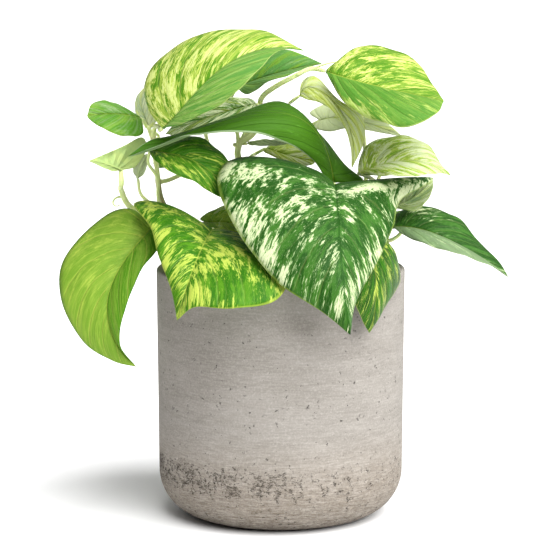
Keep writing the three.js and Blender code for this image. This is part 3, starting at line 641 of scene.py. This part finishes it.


# Cream-marbled leaves
# The oldest leaves, deep green with cream flecks. The broad one arches over the rim at the
# front, and the narrow one on the right turns its lower half to the light, its silvery sheen
# painted on.

grow("front", "leaf_deep", 11,
    rib=[(32, -18, 203.5), (33, -56, 195.5), (34.5, -92, 168), (39.5, -106, 128)],
    left=[(57, 8, 202), (92.5, 10, 203.5), (72, -14, 194), (66, -42, 180.5), (55, -74, 163.5),
        (43, -94, 145)],
    right=[(11.5, -6, 213.5), (-21.5, -10, 219.5), (-37.5, -30, 208.5), (-23.5, -68, 179.5),
        (-0.5, -92, 155.5), (25, -102, 139.5)],
    bulge=(0.03, 0.08), tones="bottle forest sage cream", cover=(0.17, 0.2),
    # The dark bottle line along the midrib is painted shade in its fold.
    contrast=4.6, soft=0.045, midrib=("bottle", 0.6), rim=("lime", 0.5),
    spots=((0.8, 0.25, 0.6, 0.09, -0.3), (0.8, 0.36, 0.45, 0.05, 0.55),
        (0.8, 0.46, 0.35, 0.03, -0.25), (0.85, 0.55, 0.35, 0.07, 0.5), (0.95, 0.72, 0.2, 0.12, 0.5),
        (0.35, 0.5, 0.16, 0.08, 0.3), (0.3, 0.66, 0.12, 0.07, 0.3), (-0.45, 0.37, 0.5, 0.07, 0.55),
        (-0.95, 0.45, 0.2, 0.15, 0.45), (-0.15, 0.55, 0.12, 0.05, 0.3),
        (-0.75, 0.84, 0.4, 0.12, 0.5), (0.3, 0.93, 0.5, 0.05, 0.35)),
    # Painted shade on the far strip of the left lobe, which folds back away from the light.
    shaded=((0.8, 0.2, 0.8, 0.08, 0.75),),
)
grow("right_low", "leaf_deep", 12,
    rib=[(68, 8, 174.5), (90.5, 2, 172), (114, -6, 161.5), (137, -12, 146.5)],
    left=[(71, 22, 181), (86.5, 28, 184.5), (106.5, 20, 179.5), (121, 8, 165), (132, -6, 154.5)],
    right=[(73.5, 0, 171), (84.5, -10, 167), (101, -18, 163), (118, -18, 157.5),
        (130.5, -15, 151.5)],
    tones="bottle forest sage cream", cover=(0.26, 0.26), contrast=3.6,
    # The mist tint on the right half is painted sheen.
    wash=("mist", 0.4), rim=("cream", 0.4),
    spots=((-0.75, 0.33, 0.4, 0.12, 0.2), (-0.5, 0.62, 0.4, 0.12, -0.15)),
)
grow("rim_right", "leaf_lime", 13,
    rib=[(47, -30, 182.5), (53, -60, 169), (55.5, -68, 148), (51.5, -68, 122.5)],
    left=[(58.5, -14, 176.5), (68.5, -30, 162), (71, -36, 149), (64, -52, 139.5), (57, -62, 129.5)],
    right=[(37.5, -50, 179), (37, -72, 165), (43, -76, 141.5), (47, -73, 131)],
    tones="bottle moss olive citron", cover=(0.36, 0.3), contrast=4.4,
    rim=("straw", 0.4),
)
grow("right_back", "leaf_lime", 14,
    rib=[(67.5, 8, 187), (75.5, 10, 188.5), (84.5, 12, 194), (92.5, 16, 202)],
    left=[(72, 4, 186), (82, 4, 185), (89.5, 8, 191.5), (92.5, 12, 198)],
    right=[(70, 16, 192), (77.5, 18, 197), (86, 18, 200.5)],
    tones="moss lime citron cream", cover=(0.56, 0.56), contrast=4, rim=("straw", 0.4),
)
grow("shade_left", "leaf_deep", 15,
    rib=[(-45, 14, 176), (-35.5, 9, 177), (-26, 4, 176.5), (-16, 0, 174)],
    left=[(-49, 20, 178), (-38.5, 24, 184), (-26, 18, 186), (-17.5, 8, 181)],
    right=[(-50.5, 8, 176), (-41, 0, 172.5), (-30.5, -5, 170.5), (-21, -5, 172)],
    tones="meadow lime citron mist", cover=(0.36, 0.36),
)

# Lime-marbled leaves
# Young leaves that are as much yellow as green, so that light shows through them. The two
# highest stand on the tallest stalks, and one on the left hangs over the rim.

grow("left_front", "leaf_lime", 23,
    rib=[(-40.5, -20, 177), (-47, -54, 168), (-53.5, -78, 152.5), (-59.5, -86, 133)],
    left=[(-27, -18, 174), (-7.5, -44, 170), (5, -78, 160.5), (-2.5, -95, 146.5),
        (-25.5, -100, 142), (-48, -95, 142.5)],
    right=[(-54.5, -6, 181), (-72.5, -4, 190.5), (-88, -8, 190.5), (-77.5, -34, 181),
        (-71, -58, 166), (-63, -76, 148.5)],
    tones="moss grass lime citron", cover=(0.44, 0.42), contrast=4.6, soft=0.03,
    grain=1.2, midrib=("citron", 0.4), rim=("citron", 0.5),
    spots=((0.9, 0.55, 0.15, 0.07, 0.2), (0.45, 0.56, 0.25, 0.06, -0.2),
        (-0.22, 0.62, 0.2, 0.2, 0.15), (-0.36, 0.42, 0.2, 0.08, -0.2), (-0.7, 0.7, 0.3, 0.07, -0.5),
        (-0.95, 0.55, 0.12, 0.1, 0.3), (-0.5, 0.88, 0.4, 0.06, 0.25)),
)
grow("top_left", "leaf_lime", 24,
    rib=[(-69.5, -34, 238.5), (-51, -44, 259), (-25, -38, 280), (14, -20, 283)],
    left=[(-78, -20, 248), (-81, -10, 261.5), (-70, -4, 279.5), (-42.5, -4, 293), (-11, -8, 294)],
    right=[(-54.5, -46, 243.5), (-29.5, -50, 257.5), (-12.5, -44, 274), (0, -30, 284)],
    tones="grass lime citron straw", cover=(0.52, 0.46), soft=0.06, grain=2.2,
    # The jade tint on the right half is painted shade.
    wash=("jade", 0.7), midrib=("grass", 0.4), rim=("straw", 0.4),
)
grow("top_right", "leaf_lime", 25,
    rib=[(27, 0, 269.5), (45.5, -12, 264.5), (70.5, -20, 259), (96.5, -22, 253.5)],
    left=[(34, 10, 274.5), (46.5, 18, 282.5), (66, 20, 282), (82.5, 12, 273.5), (92, -6, 260)],
    right=[(30.5, -8, 263), (39, -22, 251), (57, -34, 242.5), (74.5, -40, 240), (91, -34, 246.5)],
    tones="grass meadow citron straw", cover=(0.46, 0.34), contrast=3, soft=0.07,
    # The jade tint on the right half is painted shade.
    grain=1.5, wash=("jade", 0.4), midrib=("citron", 0.4), rim=("straw", 0.4),
    spots=((0.25, 0.3, 0.3, 0.15, -0.3), (0.9, 0.35, 0.2, 0.2, 0.3)),
)
grow("right_mid", "leaf_lime", 26,
    rib=[(46.5, -4, 208.5), (64, -14, 216), (83, -18, 217.5), (101.5, -16, 208.5)],
    left=[(48, 4, 217.5), (55.5, 12, 226), (72.5, 16, 229), (88.5, 8, 225), (95.5, -6, 215)],
    right=[(52.5, -10, 208), (66, -28, 209.5), (82.5, -30, 210), (94.5, -22, 210.5)],
    tones="meadow lime citron cream", cover=(0.62, 0.62), soft=0.08, grain=1.5,
    rim=("cream", 0.4),
)
grow("left_mid", "leaf_deep", 27,
    rib=[(-78, -14, 223.5), (-61, -20, 221), (-44, -22, 213.5), (-26.5, -16, 194)],
    left=[(-72.5, -2, 226.5), (-54, -6, 231), (-41, -4, 226), (-30.5, -8, 214)],
    right=[(-76, -22, 220), (-66.5, -32, 213.5), (-50.5, -34, 206.5), (-36.5, -26, 197)],
    tones="moss grass lime citron", cover=(0.28, 0.36), rim=("lime", 0.5),
)

# Plain green leaves
# Leaves with hardly any marbling, where the side veins show as fine light lines. One crosses
# the middle in a long arch, and one hangs over the rim on the left.

grow("left_low", "leaf_fresh", 37,
    rib=[(-77, -8, 177), (-93.5, -22, 157.5), (-103, -34, 130.5), (-85.5, -42, 97.5)],
    left=[(-70, -4, 176.5), (-72, -18, 166.5), (-81.5, -34, 155.5), (-90.5, -42, 136),
        (-95, -44, 112)],
    right=[(-90.5, 6, 185.5), (-108.5, 2, 180.5), (-129, -8, 159), (-132, -20, 136.5),
        (-118, -32, 111.5), (-100, -38, 100.5)],
    tones="grass meadow lime citron", cover=(0.32, 0.42), contrast=1.8, soft=0.14,
    # The lime tint on the right half is painted sheen.
    grain=1.1, wash=("lime", 0.4), veins=("citron", 0.3), rim=("moss", 0.5),
)
grow("top_mid", "leaf_fresh", 38,
    rib=[(-27, 24, 257.5), (-11.5, 18, 264), (7, 13, 269.5), (25, 12, 273)],
    left=[(-24.5, 30, 265.5), (-12.5, 28, 276.5), (2, 23, 281), (15.5, 18, 277)],
    right=[(-19.5, 18, 254), (-7.5, 11, 262), (4, 8, 266), (17, 10, 271)],
    tones="jade meadow sage mist", cover=(0.3, 0.3), contrast=2.2, soft=0.1,
    # The sage tint on the right half is painted sheen.
    wash=("sage", 0.3),
)
grow("arch", "leaf_fresh", 39,
    rib=[(32, 4, 202), (4, -8, 244.5), (-45, -18, 236.5), (-90.5, -28, 221)],
    left=[(28.5, 0, 202.5), (18, -9, 218), (-3.5, -22, 231.5), (-28.5, -28, 235.5),
        (-53.5, -28, 233.5), (-74, -29, 227)],
    right=[(51, 10, 201.5), (39, 14, 212), (22.5, 14, 231.5), (0, 10, 250.5), (-30.5, 2, 241.5),
        (-60, -10, 232.5), (-77.5, -21, 230)],
    tones="fern fern grass sage", cover=(0.3, 0.34), contrast=2.2, soft=0.14,
    veins=("bottle", 0.2), rim=("mist", 0.8), rim_from=0.93,
)
grow("far_left", "leaf_fresh", 40,
    rib=[(-84, 4, 241), (-95, 0, 243.5), (-105.5, -4, 244), (-115.5, -8, 243.5)],
    left=[(-82.5, -6, 232.5), (-92.5, -12, 231.5), (-104, -14, 235.5), (-113.5, -10, 241)],
    right=[(-90, 10, 244), (-98, 8, 249), (-106, 4, 251.5), (-113, -3, 250)],
    tones="grass meadow sage mist", cover=(0.34, 0.42), contrast=1.7, soft=0.1,
    veins=("mist", 0.15),
)
grow("behind_left", "leaf_fresh", 41,
    rib=[(-79.5, 18, 232.5), (-82, 18, 239.5), (-84.5, 20, 248), (-81.5, 22, 258.5)],
    left=[(-85, 20, 237), (-88.5, 22, 244), (-87.5, 24, 252), (-84, 24, 256.5)],
    right=[(-75.5, 14, 237.5), (-75.5, 14, 246), (-78, 18, 253.5)],
    tones="mist straw cream cream", cover=(0.4, 0.5), contrast=2.4, soft=0.1,
)

# Pale leaves
# Leaves almost without green, most of them seen edge on, half unrolled or from beneath. They
# stand between the others, on short stalks of their own.

grow("twisted", "leaf_pale", 53,
    rib=[(11.5, 8, 254), (22.5, 4, 258), (38.5, -6, 241.5), (42.5, -8, 211.5)],
    left=[(13.5, 14, 262.5), (21.5, 14, 265), (33.5, 6, 253), (49, 0, 241.5), (49.5, -6, 227)],
    right=[(16, 4, 252), (25, -2, 250), (36, -8, 240.5), (41.5, -10, 226)],
    tones="citron citron straw cream", cover=(0.58, 0.54), contrast=2.4, soft=0.14,
    midrib=("meadow", 0.4),
)
grow("pale_back", "leaf_pale", 54,
    rib=[(24, 36, 236.5), (41.5, 36, 237.5), (58.5, 34, 233), (75, 30, 227)],
    left=[(18, 40, 241), (30.5, 42, 246.5), (49, 42, 242.5), (64, 36, 235.5)],
    right=[(20, 30, 232.5), (30, 28, 230.5), (43.5, 30, 232.5), (59.5, 32, 229.5)],
    tones="straw straw cream cream", cover=(0.62, 0.62), contrast=2.4,
)
grow("pale_left", "leaf_pale", 55,
    rib=[(-14.5, 15, 248.5), (-33, 14, 244), (-51, 12, 238), (-69.5, 8, 231)],
    left=[(-18.5, 8, 244), (-35.5, 6, 237), (-51.5, 6, 232.5), (-62, 6, 230)],
    right=[(-19, 19, 251.5), (-33.5, 20, 251.5), (-52, 19, 245.5), (-64, 14, 236.5)],
    tones="moss olive sage cream", cover=(0.56, 0.56),
)
grow("yellow_left", "leaf_pale", 56,
    rib=[(-95, -18, 212), (-100.5, -24, 215), (-106.5, -28, 217.5), (-113, -32, 219)],
    left=[(-86, -8, 213.5), (-80.5, 2, 224.5), (-83.5, -2, 230), (-93, -11, 226),
        (-103, -23, 222.5)],
    right=[(-98.5, -28, 212.5), (-103, -33, 214.5), (-108, -34, 217)],
    tones="lime citron citron straw", cover=(0.34, 0.34), contrast=2, soft=0.14,
)
grow("yellow_low", "leaf_pale", 57,
    rib=[(-86, 4, 204.5), (-85.5, 3, 209), (-83.5, 2, 214), (-80.5, 3, 219.5)],
    left=[(-82.5, 3, 207), (-80.5, 2, 212), (-79, 3, 217)],
    right=[(-89, 5, 208), (-88, 4, 214), (-83.5, 3, 218)],
    tones="cream cream cream cream", cover=(0.46, 0.46), soft=0.1,
)
grow("pale_centre", "leaf_pale", 58,
    rib=[(-9, 34, 219.5), (-0.5, 31, 217), (10.5, 28, 214), (21.5, 24, 212.5)],
    left=[(-3, 42, 223), (6, 42, 223), (15.5, 36, 220)],
    right=[(-10, 27, 218), (-0.5, 22, 214), (10.5, 20, 210.5), (18.5, 21, 210.5)],
    tones="lime citron straw cream", cover=(0.5, 0.5), soft=0.07,
)
grow("silver", "leaf_pale", 59,
    rib=[(-20, 22, 223.5), (-12.5, 20, 225), (-5, 18, 225.5), (4, 16, 224)],
    left=[(-17.5, 15, 223.5), (-10, 11, 223.5), (-1.5, 13, 223.5)],
    right=[(-17.5, 28, 224.5), (-10, 30, 225.5), (-1.5, 26, 225.5)],
    tones="mist cream cream cream", cover=(0.5, 0.5), soft=0.1,
)

# Leaves behind
# The plant goes on behind as it does in front: leaves on long stalks that hang over the back of
# the rim, and shorter ones between them.

RIB_CHORDS = 3
# Margin points: the share of the way along the midrib, and out from it in half widths.
HEART_OUTLINE = ((-0.1, 0.3), (0, 0.84), (0.27, 1), (0.6, 0.66), (0.87, 0.17))


def drooping_rib(foot, heading, length, climb, droop):
    """
    The four points of a drooping midrib: three equal chords from its foot, all on one compass
    heading. The slope of the middle of each chord is climb - droop * its share of the way.
    """
    slope = np.radians(climb - droop * (np.arange(RIB_CHORDS) + 0.5) / RIB_CHORDS)
    turn = math.radians(heading)
    level = np.cos(slope)
    chords = np.stack([level * math.cos(turn), level * math.sin(turn), np.sin(slope)], 1)
    return np.concatenate([[foot], foot + np.cumsum(chords, 0) * length / RIB_CHORDS])


def heart_margins(rib, face, half, hang):
    """Both margins of a leaf given by its midrib: the heart outline set off across it and down."""
    along, out = np.asarray(HEART_OUTLINE).T
    centre, ahead, length = by_length(rib_line(rib), np.maximum(along, 0))
    up = unit(np.asarray(face, float) - (ahead @ face)[:, None] * ahead)
    level = half * out[:, None] * math.cos(math.radians(hang))
    drop = half * out[:, None] * math.sin(math.radians(hang))
    back = ahead * np.minimum(along, 0)[:, None] * length
    return [centre + back + side * np.cross(up, ahead) * level - up * drop for side in (1, -1)]


def grow_behind(name, seed, like, foot, heading, length, climb, droop, face, half, hang):
    """One hanging leaf that looks like one in front. Half is its half width, hang its fold."""
    rib = drooping_rib(foot, heading, length, climb, droop)
    left, right = heart_margins(rib, face, half, hang)
    grow(name, "leaf_fresh", seed, rib, left, right, **leaves[like]["look"])


grow_behind("back_top", 71, "top_left", foot=(-45, 30, 245), heading=115, length=60, climb=30,
    droop=60, face=(0, -0.2, 1), half=22, hang=12)
grow_behind("back_high_right", 72, "top_right", foot=(50, 25, 260), heading=55, length=70, climb=20,
    droop=50, face=(0.1, 0.3, 1), half=24, hang=14)
grow_behind("back_left_up", 73, "left_low", foot=(-60, 20, 215), heading=100, length=65, climb=12,
    droop=40, face=(-0.2, 0.2, 1), half=17, hang=16)
grow_behind("back_left_low", 74, "front", foot=(-95, 35, 175), heading=120, length=85, climb=-30,
    droop=55, face=(-0.6, 0.7, 0.7), half=26, hang=12)
grow_behind("back_hang_left", 75, "left_front", foot=(-30, 45, 170), heading=105, length=105,
    climb=-5, droop=90, face=(-0.2, 0.7, 0.8), half=34, hang=12)
grow_behind("back_hang_right", 76, "front", foot=(30, 48, 175), heading=75, length=110, climb=0,
    droop=100, face=(0.2, 0.7, 0.8), half=30, hang=10)
grow_behind("back_mid", 77, "top_left", foot=(5, 45, 200), heading=90, length=90, climb=10,
    droop=90, face=(0, 0.5, 1), half=32, hang=12)
grow_behind("back_right", 78, "left_low", foot=(76, 30, 175), heading=65, length=75, climb=15,
    droop=50, face=(0.2, 0.2, 1), half=24, hang=14)
grow_behind("back_up_right", 79, "right_mid", foot=(65, 30, 212), heading=60, length=70, climb=8,
    droop=36, face=(0.3, 0.2, 1), half=22, hang=12)

# Stems and stalks
# Each vine is a fleshy green stem rooted in the soil. At every knot it sends out a stalk with a
# shallow channel along it, which thickens a little where it carries its leaf.

STEM_TAPER = 0.25
STALK_SIDES = 14
STALK_STEP = 1.6
STALK_GAP = 0.3
CHANNEL_WIDTH = 0.55
KNOT_SWELL, KNOT_REACH = 0.22, 0.03
PETIOLE_APPROACH = 9
BROWN_FROM, BROWN_TO, BROWN_FADE = 176, 206, 8


def rod(line, radius, brown, pale, sides=STALK_SIDES, channel=0.16, flat=1):
    """
    Closed round rod along a dense line, with its colour maps. Each ring is turned as little as
    possible from the last; its radius dips by channel on one side, and flat squeezes it across
    that side.
    """
    ahead = unit(np.gradient(line, axis=0))
    across = np.empty_like(line)
    across[0] = unit(np.cross(ahead[0], (0.2, 0.1, 1) if abs(ahead[0][2]) < 0.9 else (0, 1, 0)))
    for i in range(1, len(line)):
        across[i] = unit(across[i - 1] - ahead[i] * (across[i - 1] @ ahead[i]))
    beside = np.cross(ahead, across)
    angle = np.arange(sides) / sides * 2 * math.pi
    gap = np.abs((angle + math.pi) % (2 * math.pi) - math.pi)
    reach = (1 - channel * np.exp(-((gap / CHANNEL_WIDTH) ** 2))) * radius[:, None]
    ring = (across[:, None] * (np.cos(angle) * reach)[..., None]
            + beside[:, None] * (np.sin(angle) * reach * flat)[..., None])
    points, faces = closed(line[0], line[:, None] + ring, line[-1])
    run = np.concatenate([[0], np.cumsum(np.linalg.norm(np.diff(line, axis=0), axis=1))])
    turn = np.tile(angle / (2 * math.pi), len(line))
    run, brown, pale = (np.repeat(values, sides) for values in (run / 100, brown, pale))
    maps = [np.stack(pair, 1) for pair in ((turn, run), (brown, pale))]
    return points, faces, [np.concatenate([m[:1], m, m[-1:]]) for m in maps]


def even_line(points):
    """Curve through the points, sampled about every STALK_STEP millimetres."""
    curve = smooth_line(points)
    length = np.linalg.norm(np.diff(curve, axis=0), axis=1).sum()
    return by_length(curve, np.linspace(0, 1, max(8, round(length / STALK_STEP))))[0]


def gather(rods):
    """Several closed rods as one mesh: points, faces and maps, renumbered."""
    points, faces, maps = zip(*rods)
    start = np.cumsum([0] + [len(p) for p in points[:-1]])
    faces = [np.concatenate([f[kind] + s for f, s in zip(faces, start)]) for kind in (0, 1)]
    along, tint = (np.concatenate(values) for values in zip(*maps))
    return np.concatenate(points), faces, {"along": along, "tint": tint}


def leaf_base(leaf):
    """Where a stalk meets its leaf, and the way it comes: half along the midrib, half upward."""
    shares = np.linspace(0, 1, 13)[1:-1]
    margins = margin_points(leaf, shares)
    ahead = by_length(rib_line(leaf["rib"]), shares**ROW_CROWDING)[1]
    up = unit(unit(np.cross(margins[1] - margins[0], ahead)).sum(0))
    along = by_length(rib_line(leaf["rib"]), [0.1])[1][0]
    return np.asarray(leaf["rib"][0], float), unit(unit(up - along * (up @ along)) + along)


def grow_vine(name, girth, path, petioles):
    """
    A stem through the points of path, thinner upwards and swollen at its knots, with its stalks.
    Each stalk has its leaf, its knot's share of the stem's length, its radius, the way it arrives
    (None for leaf_base's own) and the points it passes.
    """
    stem = even_line(path)
    share = np.linspace(0, 1, len(stem))
    knots = np.asarray([petiole[1] for petiole in petioles])
    swell = np.exp(-(((share[:, None] - knots) / KNOT_REACH) ** 2)).max(1)
    level = stem[:, 2]
    upright = np.clip((level - BROWN_FROM) / BROWN_FADE, 0, 1)
    upright = upright * np.clip((BROWN_TO - level) / BROWN_FADE, 0, 1)
    brown = upright * 0.9 if name == "vine_left" else 0.3 * (1 - share)
    radius = girth * (1 - STEM_TAPER * share) * (1 + KNOT_SWELL * swell)
    rods = [rod(stem, radius, brown, 0.15 * share, channel=0.05)]
    for leaf, knot, thickness, arrive, via in petioles:
        base, way = leaf_base(leaves[leaf])
        way = way if arrive is None else unit(np.asarray(arrive, float))
        start = by_length(stem, [knot])[0][0]
        end = base - way * STALK_GAP
        line = even_line([start, *via, end - way * PETIOLE_APPROACH, end])
        share = np.linspace(0, 1, len(line))
        radius = thickness * (1 + 0.3 * np.exp(-((share / 0.08) ** 2))) * (1 - 0.3 * share**4)
        radius = radius * (1 + 0.16 * np.exp(-(((share - 0.94) / 0.04) ** 2)))
        rods.append(rod(line, radius, 0 * share, 0.15 + 0.5 * share**2))
    surface("stalks_" + name, *gather(rods), stalk_skin, [name], "stem")


stalk_skin = Finish("stalk_skin", Specular_IOR_Level=0.45, Subsurface_Weight=0.25,
                    Subsurface_Radius=(0.6, 1, 0.25), Subsurface_Scale=0.0014)
turn, run = stalk_skin.uv("along")
brown, pale = stalk_skin.uv("tint")
ribs = stalk_skin.noise(stalk_skin.join(turn * 9, run * 2.2, 1), 3, 3, 0.6)
mottle = stalk_skin.noise(stalk_skin.place(), 160, 3, 0.6)
rust = (brown * (0.45 + 1.1 * ribs.rise(0.42, 0.6))).clip()
tone = stalk_skin.coats(
    "c4d27c",
    (ribs.rise(0.32, 0.68), "e4eca8"),
    (mottle.rise(0.45, 0.75) * 0.4, "e4ecb8"),
    (pale, "d4e0a0"),
    (rust * 0.8, "6b4a2c"),
)
stalk_skin.feed(Base_Color=tone, Roughness=0.36 + mottle * 0.14)
stalk_skin.bump(ribs + mottle * 0.3, 0.0003)

grow_vine("vine_left", 1.9,
    path=[(-34, 2, 118), (-34, 2, 136), (-40, 4, 148), (-58, 9, 170), (-71.5, 7, 190),
        (-75, 7, 212), (-77, 8, 229)],
    petioles=[
        ("left_front", 0.32, 1.6, None, [(-44, -4, 166)]),
        ("left_low", 0.46, 1.6, (-0.16, -0.97, 0.16), [(-72, 10, 176)]),
        ("left_mid", 0.56, 1.1, (0.1, -0.4, 0.9), [(-73, 2, 189), (-74, -4, 205.5)]),
        ("yellow_left", 0.42, 1.9, (0, -0.35, 0.95), [(-72, 15, 175), (-91, 14, 185.5),
            (-96, 0, 198)]),
        ("yellow_low", 0.52, 1.1, (-0.15, 0, 1), [(-70, 5, 181), (-79, 6, 189)]),
        ("far_left", 0.96, 1.2, None, [(-80, 8, 235)]),
        ("behind_left", 0.9, 1.1, None, [(-79, 14, 224)]),
        ("top_left", 1, 1.5, (0.2, -0.95, 0.2), [(-75.5, 2, 236), (-72, -14, 237)]),
        ("back_left_up", 0.78, 1.3, None, [(-67, 10, 203)]),
        ("back_left_low", 0.45, 1.4, None, [(-70, 22, 172)]),
    ],
)
grow_vine("vine_centre", 2.2,
    path=[(4, 2, 118), (4, 2, 136), (4, 5, 158), (-9, 10, 190), (-25, 14, 214), (-25, 14, 226)],
    petioles=[
        ("silver", 0.97, 1, (1, 0.5, 0), []),
        ("top_mid", 0.9, 1.3, (0.3, -0.6, 0.7), [(-26, 24, 227), (-27.5, 34, 237), (-25, 34, 248)]),
        ("back_top", 0.8, 1.3, (0.1, 0.2, 0.95), [(-33, 18, 213), (-44, 25, 223)]),
        ("pale_left", 1, 1.2, (-0.4, -0.7, 0.6), [(-18.5, 20, 231), (-13, 26, 239)]),
        ("pale_centre", 0.85, 1.2, None, [(-18.5, 26, 214.5)]),
        ("shade_left", 0.5, 1.4, None, [(-24, 16, 170)]),
        ("front", 0.45, 1.8, None, [(20, 6, 186)]),
        ("arch", 0.5, 1.6, None, [(20, 14, 184)]),
        ("top_right", 0.99, 1.7, (0.95, -0.2, -0.12), [(-16, 17, 231), (-13, 25, 242),
            (-11.5, 20, 251.5), (-3.5, 10, 259), (9, 1, 266.5)]),
        ("twisted", 0.93, 1.2, (0.6, -0.6, 0.5), [(-21, 28, 230.5), (-9, 32, 236.5),
            (2.5, 30, 244)]),
    ],
)
grow_vine("vine_right", 2.4,
    path=[(34, 0, 118), (34, 0, 136), (38, 2, 146), (46, 4, 160), (50, 10, 172)],
    petioles=[
        ("right_mid", 0.95, 1.4, (-0.5, -0.8, 0.25), [(58.5, 22, 194), (57, 18, 201)]),
        ("right_back", 0.9, 1.2, None, [(58, 12, 178)]),
        ("right_low", 0.6, 1.4, None, [(58, 8, 166)]),
        ("rim_right", 0.4, 1.4, None, [(44, -14, 166)]),
        ("pale_back", 1, 1.3, None, [(40, 30, 204), (24, 38, 226)]),
        ("back_high_right", 0.98, 1.4, None, [(52, 24, 210)]),
        ("back_up_right", 0.95, 1.3, None, [(56, 18, 190)]),
        ("back_right", 0.9, 1.3, None, [(64, 18, 164)]),
    ],
)
grow_vine("vine_back", 2.4,
    path=[(6, 40, 118), (6, 40, 136), (8, 44, 150), (6, 46, 166), (2, 48, 180)],
    petioles=[
        ("back_hang_right", 0.5, 1.5, None, [(18, 41, 164)]),
        ("back_hang_left", 0.4, 1.5, None, [(-12, 38, 158)]),
        ("back_mid", 0.95, 1.4, None, [(2, 42, 189)]),
    ],
)

# Sheath remains
# Dried ribbons of the sheath that once wrapped each young leaf. One is curled up beside a stalk
# on the left, and one still stands along the tall stalk on the right.

SHEATH_SIDES = 8
curl = [(-91, 12, 187), (-96, 8, 192.5), (-100, 6, 192), (-101.5, 5, 189), (-99, 5, 187.2),
        (-96.8, 5, 188.6)]
ribbon = [(9.5, -0.6, 266.8), (17, -2, 270.2), (26, -3, 273.6), (33.5, -3.5, 275.4)]
remains = []
for path, thickness in ((curl, 1.1), (ribbon, 1.2)):
    line = even_line(path)
    share = np.linspace(0, 1, len(line))
    radius = thickness * (1 - 0.6 * share**2)
    remains.append(rod(line, radius, 0 * share, 0.6 + 0 * share, SHEATH_SIDES, 0, 0.7))
surface("sheath_remains", *gather(remains), stalk_skin, slot="stem")

# Studio
# A white sweep under one large soft light, high on the right in front. The air itself glows,
# more from above, from behind and from the right, and fills the shadows.

FLOOR_REACH = 30000
KEY_TURN = math.radians(41)
KEY_HEIGHT = math.radians(51)
KEY_SPREAD = math.radians(68)
KEY_STRENGTH = 6.5
CAMERA_DISTANCE = 1.6
CAMERA_ELEVATION = math.radians(8.9)
CAMERA_AIM = (-0.00036, 0, 0.143)
CAMERA_LENS = 169.9

floor_tone = Finish("studio_floor", Base_Color=srgb("f6f6f6"), Roughness=1, Specular_IOR_Level=0)
corners = [(-1, -1, 0), (1, -1, 0), (1, 1, 0), (-1, 1, 0)]
mesh = bpy.data.meshes.new("floor")
mesh.from_pydata([tuple(c * FLOOR_REACH * MM for c in p) for p in corners], [], [(0, 1, 2, 3)])
mesh.materials.append(floor_tone.material)
floor = put("floor", mesh)


class Sky(Finish):
    """The air round the studio, built in the same ways as a finish."""

    def __init__(self, name):
        self.world = bpy.data.worlds.new(name)
        self.world.use_nodes = True
        self.tree = self.world.node_tree
        self.shader = self.tree.nodes["Background"]
        self.shader.inputs["Color"].default_value = (1, 1, 1, 1)


air = Sky("studio_air")
beside, behind, above = air.split(air.node("ShaderNodeTexCoord"))
glow = 0.04 + above.rise(0.2, 1) * 0.52
glow = glow + behind.rise(0.1, 0.8) * 0.2 + beside.rise(0.3, 1) * 0.3
air.feed(Strength=glow)
bpy.context.scene.world = air.world

key = bpy.data.lights.new("key_light", "SUN")
key.angle = KEY_SPREAD
key.energy = KEY_STRENGTH
lamp = put("key_light", key)
level = math.cos(KEY_HEIGHT)
way = (-level * math.sin(KEY_TURN), level * math.cos(KEY_TURN), -math.sin(KEY_HEIGHT))
lamp.rotation_euler = mathutils.Vector(way).to_track_quat("-Z", "Y").to_euler()

camera = bpy.data.cameras.new("camera")
camera.lens = CAMERA_LENS
camera.sensor_width = 36
view = put("camera", camera)
back = mathutils.Vector((0, -math.cos(CAMERA_ELEVATION), math.sin(CAMERA_ELEVATION)))
view.location = mathutils.Vector(CAMERA_AIM) + back * CAMERA_DISTANCE
view.rotation_euler = (-back).to_track_quat("-Z", "Y").to_euler()
bpy.context.scene.camera = view
bpy.context.scene.view_settings.view_transform = "Standard"
